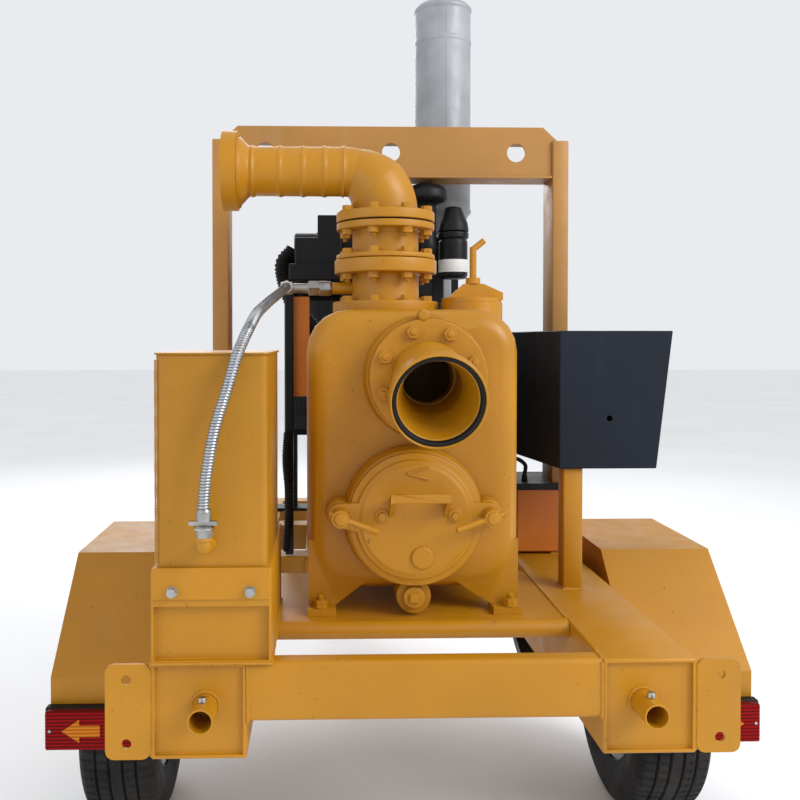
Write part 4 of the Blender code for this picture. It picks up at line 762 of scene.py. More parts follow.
def build_stack():
    """Discharge stack: two lathed spools, their bolts, and the elbow with its beads and flared end."""
    x, y = STACK[0], STACK[1]
    foot = np.array([x, y, 0.0])
    bore = 0.0665
    lower = [
        (bore, 1.5325), (0.1470, 1.5325), (0.1470, 1.5610), (0.0980, 1.5625), (0.0935, 1.5680),
        (0.0930, 1.6330),
        (0.0980, 1.6380), (0.1425, 1.6390), (0.1425, 1.6765), (bore, 1.6765),
    ]
    spool = [ringed(lower, foot, Z, 0.0035, SPIN_STEPS)]
    make_piece("lower_spool_cast", spool, "cast_yellow", stands_for=("lower_spool",))
    upper = [
        (bore, 1.6786), (0.1375, 1.6786), (0.1375, 1.6915), (0.0940, 1.6930), (0.0925, 1.6970),
        (0.0925, 1.7540),
        (0.0950, 1.7585), (0.1365, 1.7595), (0.1365, 1.7778), (bore, 1.7778),
    ]
    spool = [ringed(upper, foot, Z, 0.0030, SPIN_STEPS)]
    make_piece("upper_spool_cast", spool, "cast_yellow", stands_for=("upper_spool",))
    gaskets = [ringed([(bore, low_z), (0.130, low_z), (0.130, high_z), (bore, high_z)], foot, Z, 0.0004, 72)
               for low_z, high_z in ((1.7779, 1.7822), (1.6766, 1.6786), (1.5321, 1.5326))]
    make_piece("stack_gaskets", gaskets, "rubber")
    bolts = []
    for top, bottom, nut in ((1.8086, 1.7590, 0.013), (1.6916, 1.6388, 0.014), (1.5612, None, 0.013)):
        for spot in circle_of(foot, Z, 0.1175, 8, np.radians(25)):
            bolts += bolt_head(spot + [0, 0, top], Z, 0.027, 0.013)
            if bottom:
                bolts += stud_and_nut(spot + [0, 0, bottom], -Z, 0.027, nut, 0.010, 0.008)
    make_piece("stack_bolts", bolts, "yellow")
    axis_z, bend = 1.925, 0.1162
    quarter = np.linspace(0, np.pi / 2, 40)
    turn = x - bend + bend * np.cos(quarter), np.full(40, y), 1.8088 + bend * np.sin(quarter)
    curve = np.stack(turn, axis=1)
    run = np.linspace(x - bend, -0.4900, 160)[1:]
    straight = np.stack([run, np.full(len(run), y), np.full(len(run), axis_z)], axis=1)
    path = np.concatenate([[[x, y, 1.7830]], [[x, y, 1.8000]], curve, straight])
    outer = np.full(len(path), 0.0680)
    for place, height, width in ((-0.157, 0.0035, 0.004), (-0.210, 0.003, 0.006), (-0.269, 0.003, 0.006),
                                 (-0.333, 0.003, 0.006), (-0.409, 0.004, 0.005)):
        outer = outer + height * np.exp(-(((path[:, 0] - place) / width) ** 2)) * (path[:, 2] > 1.92)
    flare = np.clip((-0.412 - path[:, 0]) / 0.036, 0, 1)
    outer = outer + 0.0270 * flare * flare * (3 - 2 * flare)
    outer = np.where(path[:, 0] < -0.4490, 0.1095, outer)
    inner = np.full(len(path), bore - 0.002) + 0.0255 * flare
    flange = [(0.066, 1.7823), (0.1370, 1.7823), (0.1370, 1.8087), (0.066, 1.8087)]
    parts = [pipe_wall(path, outer, inner, 72), ringed(flange, foot, Z, 0.0030, SPIN_STEPS)]
    parts.append(ring_bead((x, y, 1.8105), Z, 0.0690, 0.0045))
    parts.append(ring_bead((-0.4475, y, axis_z), X, 0.0985, 0.0035))
    make_piece("discharge_elbow_pipe", parts, "yellow", stands_for=("discharge_elbow",), sharp=40)


def build_casing():
    """Pump casing with its feet, hold-down bolts, drain plug and filler."""
    refined("pump_casing", "cast_yellow", 0.004, 40)
    a, b, deck = low("pump_casing"), high("pump_casing"), high("pump_deck")[2]
    bolts = []
    for x in (a[0] + 0.034, b[0] - 0.034):
        for y in (a[1] + 0.035, b[1] - 0.060):
            bolts += stud_and_nut((x, max(y, REAR + 0.322), deck + 0.0185), Z, 0.030, 0.016, 0.012, 0.009)
    make_piece("casing_bolts", bolts, "yellow")
    plug = middle("drain_plug")
    refined("drain_plug", "yellow", 0.001)
    collar = [(0, 0), (0.0235, 0), (0.026, -0.003), (0.026, -0.010), (0, -0.010)]
    spot = (plug[0], low("drain_plug")[1] + 0.016, plug[2])
    make_piece("drain_flange", [turned(collar, spot, Y, 0.0015, 40)], "yellow", "drain")
    seat = COVER + 0.0268 * Y
    rim = [(0.133, 0.0), (0.1650, 0.0), (0.1670, 0.012), (0.1740, 0.045), (0.133, 0.045)]
    pad = [(0, 0.0), (0.0305, 0.0), (0.0325, 0.004), (0.0360, 0.045), (0, 0.045)]
    parts = [ringed(rim, seat, Y, 0.004, SPIN_STEPS)]
    for sign in (-1, 1):
        parts.append(turned(pad, (seat[0] + sign * CLAMP_REACH, seat[1], CLAMP_HEIGHT), Y, 0.003, 40))
    make_piece("cover_seat", parts, "cast_yellow")
    refined("filler_lid", "yellow", 0.0015)
    refined("filler_clamp", "yellow", 0.0012)
    refined("check_flap", "rubber", 0.001)
    refined("impeller_shaft", "cast_iron", 0.001)


# ---------------------------------------------------------------- chassis and running gear
def build_chassis(weld):
    """Rails, crossbars, deck, drawbar, jack and rear fittings, with their weld beads and bolts."""
    refined("rail_left rail_right rear_crossbar front_crossmember", "yellow", 0.002)
    refined("pump_deck engine_bed drawbar box_post", "yellow", 0.002)
    refined("corner_plate_left corner_plate_right socket_left socket_right", "yellow", 0.0012)
    refined("hitch_eye jack_sleeve jack_leg jack_crank", "zinc", 0.0012)
    beads = []
    bar = low("rear_crossbar"), high("rear_crossbar")
    for sign, side in ((-1, "left"), (1, "right")):
        outer = max(low(f"rail_{side}")[0], high(f"rail_{side}")[0], key=abs)
        reach = sign * abs(bar[1][0])
        for z in (bar[0][2], bar[1][2]):
            beads.append(bead((reach, bar[0][1] + 0.006, z), (reach, bar[1][1], z), weld))
        corner = (reach - sign * 0.001, bar[0][1] + 0.001)
        beads.append(bead((*corner, bar[0][2]), (*corner, bar[1][2] - 0.006), weld))
        plate = low(f"corner_plate_{side}"), high(f"corner_plate_{side}")
        corner = (outer, plate[0][1] + 0.004)
        beads.append(bead((*corner, plate[0][2] + 0.006), (*corner, plate[1][2] - 0.006), weld * 0.8))
        beads.append(ring_bead((middle(f"socket_{side}")[0], REAR + 0.0085, 0.690), Y, 0.0285, weld))
        beads += around_foot(f"arch_post_{side}", weld)
    beads += around_foot("tank_tray", weld) + around_foot("box_post", weld)
    deck = low("pump_deck"), high("pump_deck")
    for x in (-0.373, 0.373):
        beads.append(bead((x, deck[0][1] + 0.030, deck[1][2]), (x, deck[1][1], deck[1][2]), weld))
    make_piece("chassis_welds", beads, "yellow")
    pin = [(0, 0), (0.0075, 0), (0.0085, 0.002), (0.0085, 0.012), (0, 0.014)]
    pins = [turned(pin, (x, REAR - 0.040, 0.7155), Z, 0.001, 24) for x in (-0.462, 0.462)]
    make_piece("socket_pins", pins, "zinc")


def around_foot(node, weld):
    """Weld beads round the four sides of a node that stands on the rails."""
    a, b = low(node), high(node)
    corners = [(a[0], a[1], a[2]), (b[0], a[1], a[2]), (b[0], b[1], a[2]), (a[0], b[1], a[2])]
    pairs = ((0, 1), (3, 2), (0, 3), (1, 2))
    return [bead(corners[start], corners[end], weld) for start, end in pairs]


def build_guards():
    """Mudguards and tail lights: a ribbed lens in a dark shell with an amber arrow that points outwards."""
    refined("mudguard_left mudguard_right", "yellow", 0.0025)
    outline = [(0, -0.030), (-0.045, 0.0), (0, 0.030), (0, 0.015), (0.052, 0.015), (0.052, -0.015), (0, -0.015)]
    screw = [(0, 0.0), (0.0045, 0.0), (0.0036, -0.0022), (0, -0.0026)]
    for side, sign in (("left", -1), ("right", 1)):
        light = f"tail_light_{side}"
        a, b, centre = low(light), high(light), middle(light)
        shell = [block(a + [0, 0.016, 0], b)]
        make_piece(f"lamp_shell_{side}", shell, "rubber", stands_for=(light,), edge=0.004)
        lens = [block(a + [0.003, 0, 0.003], b + [-0.003, -0.024, -0.003])]
        make_piece(f"lamp_lens_{side}", lens, "red_lens", edge=0.006)
        face, near = a[1] - 0.0002, centre[0] + sign * 0.042
        rows = np.array([[[near - sign * across, depth, centre[2] + up] for across, up in outline]
                         for depth in (face - 0.0022, face + 0.002)])
        arrow = [lattice(rows, close_v=True, caps=True)]
        make_piece(f"lamp_arrow_{side}", arrow, "amber_lens", edge=0.001)
        screws = [turned(screw, (x, face + 0.0006, centre[2]), Y, 0.0005, 24)
                  for x in (a[0] + 0.016, b[0] - 0.016)]
        make_piece(f"lamp_screws_{side}", screws, "zinc")


GROOVES, GROOVE_WIDTH, GROOVE_DEPTH = (-0.52, -0.18, 0.18, 0.52), 0.030, 0.009  # places and width as shares
SIPES, SIPE_DEPTH = 70, 0.0042
TYRE_SIDE = np.array([(1.0, 0.905), (1.03, 0.86), (1.02, 0.78), (0.96, 0.70), (0.90, 0.645), (0.885, 0.600)])


def tyre_surface(centre, radius, half):
    """A tyre: its radius falls with the square of the place across, less grooves and slanted sipes."""
    edge = np.linspace(0.86, 1.0, 6)
    across = np.concatenate([-edge[::-1], np.linspace(-0.84, 0.84, 113), edge])
    crown = radius * (1 - 0.012 * across**2 - 0.075 * np.clip((np.abs(across) - 0.80) / 0.20, 0, 1) ** 2)
    groove = sum(np.exp(-((np.abs(across - spot) / GROOVE_WIDTH) ** 4)) for spot in GROOVES)
    plain = np.zeros(len(TYRE_SIDE))
    width = np.concatenate([-TYRE_SIDE[::-1, 0], across, TYRE_SIDE[:, 0]]) * half * 0.965
    base = np.concatenate([TYRE_SIDE[::-1, 1] * radius, crown, TYRE_SIDE[:, 1] * radius])
    deep = np.concatenate([plain, groove * GROOVE_DEPTH, plain])
    tread = np.concatenate([plain, np.abs(across) < 0.97, plain])
    angle = np.linspace(0, TAU, 420, endpoint=False)[:, None]
    place = np.abs(width / half)
    wave = angle * SIPES + 2.6 * place + np.where(width > 0, 0.7, 0.0)
    size = base - np.maximum(deep, SIPE_DEPTH * tread * (np.cos(wave) > 0.80) * (place > 0.20))
    points = np.stack([
        np.broadcast_to(centre[0] + width, size.shape), centre[1] + size * np.cos(angle),
        centre[2] + size * np.sin(angle),
    ], axis=-1)
    return lattice(points, close_u=True, close_v=True)


def build_wheels():
    """Tyres with grooves and cross sipes, dished rims, hub caps and wheel nuts, with springs and axle."""
    refined("axle_beam leaf_spring_left leaf_spring_right", "black_paint", 0.0015)
    for side, sign in (("left", -1), ("right", 1)):
        a, b = low(f"tyre_{side}"), high(f"tyre_{side}")
        centre, radius, half = (a + b) / 2, (b[2] - a[2]) / 2, (b[0] - a[0]) / 2
        body, out = f"wheel_{side}", sign * X
        make_piece(f"tyre_tread_{side}", [tyre_surface(centre, radius, half)], "tyre", body, (f"tyre_{side}",))
        rim = [
            (0.1985, -0.88), (0.2030, -0.84), (0.1960, -0.76), (0.1820, -0.62), (0.1760, 0.30), (0.1850, 0.62),
            (0.1960, 0.74), (0.2040, 0.85), (0.1990, 0.885), (0.1880, 0.80), (0.1720, 0.62), (0.1650, 0.40),
            (0.1450, 0.32), (0.1150, 0.46), (0.0900, 0.46), (0.0, 0.46),
        ]
        cap = [(0, 0.44), (0.036, 0.46), (0.040, 0.50), (0.037, 0.78), (0.030, 0.86), (0, 0.88)]
        parts = [turned([(r, share * half) for r, share in outline], centre, out, 0.004, steps)
                 for outline, steps in ((rim, SPIN_STEPS), (cap, 48))]
        make_piece(f"rim_{side}", parts, "wheel_silver", body, (f"wheel_{side}",))
        nuts = [hexagon(spot, out, 0.021, 0.018, 0.2)
                for spot in circle_of(centre + out * half * 0.46, out, 0.066, 5, 0.3)]
        make_piece(f"wheel_nuts_{side}", nuts, "zinc", body)
        # Painted shade: flat near-black discs on the rim's face stand for its holes, dark with the shade inside
        # the wheel.
        hole = [(0, 0.0), (0.0135, 0.0), (0.0135, 0.0012), (0, 0.0012)]
        holes = [turned(hole, spot + out * 0.004, out, 0.0004, 24)
                 for spot in circle_of(centre + out * half * 0.385, out, 0.133, 10)]
        make_piece(f"rim_hole_shade_{side}", holes, "hole_shade", body)
        drum = [(0.0, 0.0), (0.085, 0.0), (0.085, -0.05), (0, -0.05)]
        hub = [turned(drum, centre - out * half * 0.2, out, 0.003, 40)]
        make_piece(f"hub_{side}", hub, "black_paint", body)


# ---------------------------------------------------------------- arch, tank and box
def build_arch():
    """Lifting arch."""
    refined("arch_post_left arch_post_right lifting_beam", "arch_yellow", 0.0025)


def build_tank():
    """Tank, its lid, tray and strap plate with two bolts."""
    refined("water_tank", "tank_yellow", 0.003)
    refined("tank_lid", "tank_yellow", 0.002)
    refined("tank_tray", "yellow", 0.002)
    a, b = low("tank_tray"), high("tank_tray")
    plate = [block((a[0] + 0.003, a[1] - 0.0045, 0.917), (b[0] - 0.003, a[1] - 0.0002, 0.9835))]
    make_piece("strap_plate", plate, "yellow", edge=0.0012)
    bolts = []
    for x in (-0.528, -0.367):
        bolts += bolt_head((x, a[1] - 0.0045, 0.934), -Y, 0.019, 0.011)
    make_piece("tray_bolts", bolts, "zinc")
    a, b = low("water_tank"), high("water_tank")
    seam = bead((a[0], a[1] + 0.001, a[2] + 0.01), (a[0], a[1] + 0.001, b[2] - 0.01), 0.0022)
    make_piece("tank_seams", [seam], "tank_yellow")


def build_box():
    """Control box with its instrument panel, key and stop button."""
    refined("control_box", "box_black", 0.003)
    refined("instrument_panel", "panel_grey", 0.001)
    refined("key_switch", "zinc", 0.0008)
    refined("stop_button", "button_red", 0.001)


# ---------------------------------------------------------------- engine
def band(centre, direction, radius, width=0.012, thick=0.0015):
    """A hose clamp: a thin flat ring with its worm housing at the side."""
    _, side, up = axes_for(direction)
    loop = [(radius, -width / 2), (radius + thick, -width / 2), (radius + thick, width / 2),
            (radius, width / 2)]
    worm = np.asarray(centre) + side * (radius + 0.004)
    return [
        ringed(loop, centre, direction, 0.0004, 48),
        turned([(0, -0.010), (0.0055, -0.010), (0.0055, 0.010), (0, 0.010)], worm, up, 0.0008, 20),
    ]


def build_engine():
    """Engine: castings, rocker cover, manifolds, filters, alternator with its belt, starter and pipes."""
    refined("engine_block", "engine_black", 0.004)
    refined("bell_housing", "cast_yellow", 0.003)
    refined("cooling_fan", "fan_plastic", 0.001)
    rear, front = low("engine_block")[1], high("engine_block")[1]
    cast = []
    for step in range(9):
        y = rear + 0.050 + step * 0.0575
        cast.append(block((-0.1565, y - 0.004, 0.900), (0.1565, y + 0.004, 1.255)))
    for z in (0.930, 1.060, 1.190, 1.290):
        cast.append(block((-0.1590, rear + 0.012, z - 0.005), (0.1590, front - 0.012, z + 0.005)))
    cast.append(block((-0.092, rear + 0.034, 1.425), (0.067, front - 0.034, 1.437)))
    for step in range(4):
        y = rear + 0.090 + step * 0.125
        cast.append(block((-0.150, y - 0.026, 1.315), (-0.118, y + 0.026, 1.365)))
        cast.append(block((0.118, y - 0.026, 1.315), (0.165, y + 0.026, 1.372)))
    cast.append(block((0.150, rear + 0.050, 1.325), (0.185, front - 0.060, 1.368)))
    make_piece("engine_ribs", cast, "engine_black", edge=0.003)
    bolts = []
    for step in range(6):
        y = rear + 0.060 + step * 0.088
        for x in (-0.108, 0.108):
            bolts += bolt_head((x, y, 1.4005), Z, 0.014, 0.009)
        bolts += bolt_head((-0.1595, y, 0.905), -X, 0.013, 0.007)
        bolts += bolt_head((0.1595, y, 0.905), X, 0.013, 0.007)
    for x in (-0.225, 0.225):
        for y in (rear + 0.050, front - 0.050):
            bolts += stud_and_nut((x, y, 0.8022), Z, 0.022, 0.014, 0.010, 0.008)
    make_piece("engine_bolts", bolts, "zinc")
    cap = [(0, 0), (0.022, 0), (0.024, 0.004), (0.024, 0.018), (0.018, 0.024), (0, 0.024)]
    can = [(0, 0), (0.040, 0.002), (0.046, 0.010), (0.046, 0.105), (0.043, 0.112), (0.048, 0.116),
           (0.048, 0.128), (0, 0.130)]
    oil = [turned(cap, (-0.012, rear + 0.340, 1.470), Z, 0.002, 32)]
    for x, y in ((-0.205, rear + 0.190), (0.212, rear + 0.360)):
        oil.append(turned(can, (x, y, 0.985), Z, 0.004, 48))
    make_piece("engine_filters", oil, "black_paint")
    injection = [(0, 0), (0.038, 0), (0.042, 0.010), (0.042, 0.150), (0.034, 0.160), (0.034, 0.190), (0, 0.192)]
    starter = [(0, 0), (0.030, 0), (0.036, 0.008), (0.036, 0.160), (0.026, 0.168), (0, 0.170)]
    solenoid = [(0, 0), (0.022, 0), (0.022, 0.110), (0.018, 0.116), (0, 0.116)]
    alternator = [(0, 0), (0.040, 0.003), (0.056, 0.014), (0.058, 0.090), (0.048, 0.104), (0.014, 0.106),
                  (0, 0.106)]
    make_piece("engine_pumps", [
        turned(injection, (-0.198, rear + 0.250, 1.190), Y, 0.004, 40),
        turned(starter, (0.196, rear + 0.040, 0.985), Y, 0.004, 40),
        turned(solenoid, (0.196, rear + 0.070, 1.045), Y, 0.003, 32),
        turned(alternator, (0.205, front - 0.155, 1.205), Y, 0.004, 48),
    ], "cast_iron")
    pulleys, y = [], front + 0.010
    groove = [(0, -0.010), (1.0, -0.010), (1.0, -0.006), (0.86, -0.001)]
    groove += [(share, -depth) for share, depth in reversed(groove)]
    shaft = [(0, -0.120), (0.014, -0.120), (0.014, 0.0), (0, 0.0)]
    wheels = ((0.0, 1.020, 0.078), (0.205, 1.205, 0.034))
    for x, z, radius in wheels:
        pulleys.append(turned([(r * radius, h) for r, h in groove], (x, y, z), Y, 0.001, 56))
        pulleys.append(turned(shaft, (x, y, z), Y, 0.001, 24))
    make_piece("engine_pulleys", pulleys, "black_paint")
    (x0, z0, r0), (x1, z1, r1) = wheels
    gap = np.hypot(x1 - x0, z1 - z0)
    heading, lean = np.arctan2(z1 - z0, x1 - x0), np.arcsin((r0 - r1) / gap)
    first = np.linspace(np.pi / 2 - lean, 3 * np.pi / 2 + lean, 40) + heading
    second = np.linspace(-np.pi / 2 + lean, np.pi / 2 - lean, 28) + heading
    loop = np.concatenate([
        np.stack([x0 + r0 * np.cos(first), np.full(40, y), z0 + r0 * np.sin(first)], axis=1),
        np.stack([x1 + r1 * np.cos(second), np.full(28, y), z1 + r1 * np.sin(second)], axis=1),
    ])
    make_piece("engine_belt", [carried(loop, 0.0062, 8, closed=True)], "rubber")
    lines = []
    for step in range(4):
        start = np.array([-0.198, rear + 0.270 + step * 0.022, 1.232])
        port = rear + 0.110 + step * 0.110
        route = [start, start + 0.050 * Z, [-0.175, port, 1.380], [-0.120, port, 1.428]]
        lines.append(hose_run(route, 0.0032, steps=10))
    make_piece("injector_lines", lines, "zinc")
    core = low("radiator")[1]
    upper = [(-0.060, front - 0.030, 1.400), (-0.060, front + 0.070, 1.470), (-0.120, front + 0.120, 1.640),
             (-0.150, core + 0.010, 1.690)]
    lower = [(0.100, front - 0.040, 0.960), (0.140, front + 0.060, 0.950), (0.200, front + 0.120, 1.050),
             (0.220, core + 0.010, 1.120)]
    air = [(-0.309, rear + 0.280, 1.760), (-0.345, rear + 0.275, 1.700), (-0.300, rear + 0.240, 1.560),
           (-0.200, rear + 0.220, 1.440), (-0.140, rear + 0.215, 1.350)]
    loom = [(-0.322, rear - 0.010, 1.170), (-0.326, rear - 0.018, 1.080), (-0.318, rear - 0.010, 0.960),
            (-0.325, rear, 0.800)]
    make_piece("engine_hoses", [
        hose_run(upper, 0.026, steps=24), hose_run(lower, 0.026, steps=24),
        hose_run(air, 0.030, 0.0022, 0.011, 24), hose_run(loom, 0.0125, 0.0016, 0.008, 16),
    ], "rubber")
    clamps = band((-0.148, core - 0.012, 1.684), (-0.4, 0.6, 0.7), 0.0265)
    clamps += band((0.219, core - 0.010, 1.105), (0.3, 0.5, 0.8), 0.0265)
    make_piece("engine_clamps", clamps, "zinc")


def build_radiator():
    """Radiator: frame, finned core, tanks with cap, shroud ring and wire fan guard."""
    refined("radiator", "radiator_black", 0.003)
    a, b, centre_y = low("radiator"), high("radiator"), middle("radiator")[1]
    cores = [block((-0.325, near, 1.105), (0.292, far, 1.610))
             for near, far in ((b[1] - 0.016, b[1] - 0.0075), (a[1] + 0.006, a[1] + 0.012))]
    make_piece("radiator_core", cores, "radiator_fins")
    bars = [block((x - 0.016, b[1] - 0.020, 1.085), (x + 0.016, b[1] - 0.001, 1.640)) for x in (-0.345, 0.312)]
    bars += [block((-0.360, b[1] - 0.020, z - 0.014), (0.327, b[1] - 0.002, z + 0.014)) for z in (1.095, 1.620)]
    for z in np.linspace(1.190, 1.530, 5):
        bars.append(block((-0.340, b[1] - 0.0100, z - 0.003), (0.306, b[1] - 0.0055, z + 0.003)))
    make_piece("radiator_frame", bars, "radiator_black", edge=0.002)
    cap = [(0, 0), (0.024, 0), (0.026, 0.004), (0.032, 0.006), (0.032, 0.014), (0.020, 0.019), (0, 0.020)]
    make_piece("radiator_cap", [
        turned(cap, (0.060, centre_y, b[2]), Z, 0.002, 40),
        block((0.025, centre_y - 0.007, b[2] + 0.010), (0.095, centre_y + 0.007, b[2] + 0.016)),
    ], "zinc")
    centre = np.array([0.0, a[1] - 0.034, 1.330])
    angle = np.linspace(0, TAU, 72, endpoint=False)[:, None]
    circle = np.cos(angle) * X + np.sin(angle) * Z
    guard = [carried(centre + radius * circle, 0.0022, 6, closed=True)
             for radius in np.linspace(0.060, 0.222, 7)]
    for far in circle[::12]:
        guard.append(carried(np.linspace(centre + far * 0.050, centre + far * 0.236, 8), 0.0030, 8))
    make_piece("fan_guard", guard, "black_paint")
    shroud = [(0.232, -0.030), (0.236, -0.030), (0.244, 0.036), (0.240, 0.036)]
    make_piece("fan_shroud", [ringed(shroud, centre, Y, 0.001, 72)], "radiator_black")


def build_breathing():
    """Air cleaner with its clips and rain cap, and the upright silencer with its bands."""
    a, b = low("air_cleaner"), high("air_cleaner")
    axis = np.array([a[0], b[1] - 0.112, b[2] - 0.112])
    can = [
        (0, 0.0), (0.054, 0.0), (0.059, 0.004), (0.059, 0.072), (0.066, 0.082), (0.104, 0.084), (0.1115, 0.090),
        (0.1115, 0.128), (0.1075, 0.132), (0.1075, 0.150), (0.1115, 0.154), (0.1115, 0.262), (0.1115, 0.268),
        (0.1070, 0.272), (0.1070, 0.284), (0.1118, 0.288), (0.1118, 0.352), (0.104, 0.366),
        (0.060, 0.374), (0.0, 0.379),
    ]
    cleaner = [turned(can, axis, X, 0.004, 80)]
    cleaner.append(block((-0.080, axis[1] - 0.030, 1.4705), (0.040, axis[1] + 0.030, 1.665)))
    make_piece("air_cleaner_can", cleaner, "engine_black", stands_for=("air_cleaner",))
    bands = []
    for reach in (0.142, 0.278):
        bands += band(axis + reach * X, X, 0.1118, 0.016, 0.0018)
    make_piece("air_cleaner_bands", bands, "zinc")
    stem = np.array([0.118, REAR + 0.985, 0.0])
    cap = [(0, 1.800), (0.030, 1.800), (0.030, 1.880), (0.034, 1.888), (0.056, 1.896), (0.066, 1.906),
           (0.064, 1.930),
           (0.050, 1.946), (0.024, 1.954), (0, 1.955)]
    route = [stem + 1.800 * Z, stem + 1.740 * Z, stem + [-0.025, 0.060, 1.730], stem + [-0.060, 0.110, 1.740]]
    make_piece("rain_cap", [turned(cap, stem, Z, 0.004, 56), hose_run(route, 0.030, steps=24)], "engine_black")
    x, y = middle("muffler")[:2]
    foot = np.array([x, y, 0.0])
    pipe = [
        (0, 1.362), (0.034, 1.366), (0.034, 1.526), (0.030, 1.530), (0.030, 1.790), (0.047, 1.800),
        (0.060, 1.824),
        (0.086, 1.874), (0.0965, 1.886), (0.0965, 1.892), (0.0935, 1.898), (0.0935, 1.990), (0.0955, 1.994),
        (0.0955, 2.004), (0.0935, 2.008), (0.0935, 2.448), (0.0955, 2.452), (0.0955, 2.462), (0.0935, 2.466),
        (0.0935, 2.556), (0.0970, 2.562), (0.0970, 2.569), (0.084, 2.583), (0.050, 2.589), (0.0475, 2.594),
        (0.0475, 2.602), (0.0440, 2.606), (0.0440, 2.613), (0.0375, 2.613), (0.0370, 2.400), (0, 2.400),
    ]
    inlet = [(0, 0), (0.030, 0), (0.030, 0.075), (0, 0.075)]
    parts = [turned(pipe, foot, Z, 0.003, SPIN_STEPS), turned(inlet, (0.124, y, 1.391), X, 0.002, 32)]
    make_piece("silencer", parts, "muffler_silver", stands_for=("muffler",))
    # Painted shade: a flat near-black disc a little inside the outlet darkens the bore.
    disc = [(0, 2.560), (0.0368, 2.560), (0.0368, 2.562), (0, 2.562)]
    make_piece("silencer_bore_shade", [turned(disc, foot, Z, 0.0002, 40)], "hole_shade")
    make_piece("silencer_clamp", band(foot + 1.800 * Z, Z, 0.0475, 0.020, 0.003), "zinc")
    seam = [bead((x, y - 0.0932, 1.900), (x, y - 0.0932, 2.556), 0.0018, 0.004)]
    make_piece("silencer_seam", seam, "muffler_silver")


def build_dressing():
    """Small things between the pump and the engine: fuel filter, battery, side guard, brackets and wiring."""
    rear = low("engine_block")[1]
    x, y = 0.206, REAR + 1.000
    can = [(0, 1.650), (0.040, 1.652), (0.046, 1.662), (0.046, 1.770), (0.042, 1.778), (0.049, 1.782),
           (0.049, 1.800),
           (0, 1.802)]
    head = [(0, 1.802), (0.050, 1.803), (0.046, 1.830), (0.026, 1.880), (0.010, 1.884), (0, 1.884)]
    make_piece("fuel_filter", [
        turned(can, (x, y, 0), Z, 0.003, 48), turned(head, (x, y, 0), Z, 0.003, 48),
        block((x - 0.012, y + 0.030, 1.780), (x + 0.012, y + 0.150, 1.800)),
    ], "engine_black")
    label = [(0.0462, 1.672), (0.0466, 1.672), (0.0466, 1.712), (0.0462, 1.712)]
    make_piece("fuel_filter_label", [ringed(label, (x, y, 0), Z, 0.0001, 48)], "label_white")
    make_piece("side_guard", [
        block((-0.314, rear + 0.010, 1.280), (-0.308, rear + 0.300, 1.590)),
        block((-0.314, rear + 0.010, 1.280), (-0.255, rear + 0.014, 1.590)),
    ], "guard_orange", edge=0.0015)
    make_piece("engine_brackets", [
        block((0.150, y + 0.100, 1.372), (0.190, y + 0.108, 1.800)),
        block((-0.318, rear - 0.020, 1.640), (-0.150, rear + 0.300, 1.690)),
        block((-0.300, rear + 0.020, 1.690), (-0.228, rear + 0.120, 1.775)),
        block((-0.230, rear + 0.020, 1.690), (-0.155, rear + 0.160, 1.845)),
        block((-0.330, rear - 0.010, 0.790), (-0.305, rear + 0.030, 1.640)),
    ], "engine_black", edge=0.004)
    battery = [block((0.395, rear + 0.010, 0.790), (0.560, rear + 0.250, 0.990))]
    make_piece("battery_case", battery, "guard_orange", edge=0.005)
    top = [block((0.391, rear + 0.006, 0.985), (0.564, rear + 0.254, 1.006))]
    pole = [(0, 0), (0.010, 0), (0.008, 0.020), (0, 0.020)]
    top += [turned(pole, (spot, rear + 0.060, 1.006), Z, 0.001, 24) for spot in (0.430, 0.525)]
    make_piece("battery_lid", top, "black_paint")
    earth = [(0.430, rear + 0.060, 1.024), (0.430, rear + 0.060, 1.060), (0.380, rear + 0.060, 1.080),
             (0.260, rear + 0.080, 1.060), (0.215, rear + 0.120, 1.045)]
    live = [(0.525, rear + 0.060, 1.024), (0.520, rear + 0.050, 1.065), (0.520, rear - 0.010, 1.110),
            (0.470, rear - 0.030, 1.130)]
    sender = [(0.400, rear - 0.030, 1.150), (0.330, rear - 0.010, 1.160), (0.250, rear + 0.050, 1.250),
              (0.180, rear + 0.080, 1.320)]
    sizes = ((earth, 0.0065), (live, 0.0065), (sender, 0.0060))
    wires = [hose_run(route, radius, steps=12) for route, radius in sizes]
    make_piece("wiring", wires, "rubber")


# ---------------------------------------------------------------- operators
class PumpColours(bpy.types.PropertyGroup):
    """Colours of the painted pieces."""

    paint: FloatVectorProperty(
        name="Body paint", description="Chassis, pump and tank paint", subtype="COLOR_GAMMA", size=3,
        default=(0.725, 0.495, 0.040), min=0, max=1,
    )
    arch: FloatVectorProperty(
        name="Arch paint", description="Lifting arch paint", subtype="COLOR_GAMMA", size=3,
        default=(0.680, 0.485, 0.230), min=0, max=1,
    )
    box: FloatVectorProperty(
        name="Box paint", description="Control box paint", subtype="COLOR_GAMMA", size=3,
        default=(0.100, 0.125, 0.170), min=0, max=1,
    )
    lens: FloatVectorProperty(
        name="Tail light", description="Tail light lens", subtype="COLOR_GAMMA", size=3,
        default=(0.600, 0.004, 0.010), min=0, max=1,
    )


class PumpSizes(bpy.types.PropertyGroup):
    """Sizes of the details that the frame leaves out."""

    hose_pitch: FloatProperty(
        name="Hose ring pitch", description="Distance between two rings of the hose", default=0.0062,
        min=0.003, max=0.02, unit="LENGTH",
    )
    weld: FloatProperty(
        name="Weld bead", description="Radius of the weld beads", default=0.0038,
        min=0.001, max=0.01, unit="LENGTH",
    )


class PUMP_OT_stage(bpy.types.Operator):
    """Floor, lights and camera"""

    bl_idname = "pump.stage"
    bl_label = "Stage"

    def execute(self, context):
        build_stage()
        return {"FINISHED"}


class PUMP_OT_hose(bpy.types.Operator):
    """Air-release hose with its fittings"""

    bl_idname = "pump.hose"
    bl_label = "Hose"

    def execute(self, context):
        build_hose(context.scene.pump_sizes.hose_pitch)
        build_hose_fittings()
        return {"FINISHED"}


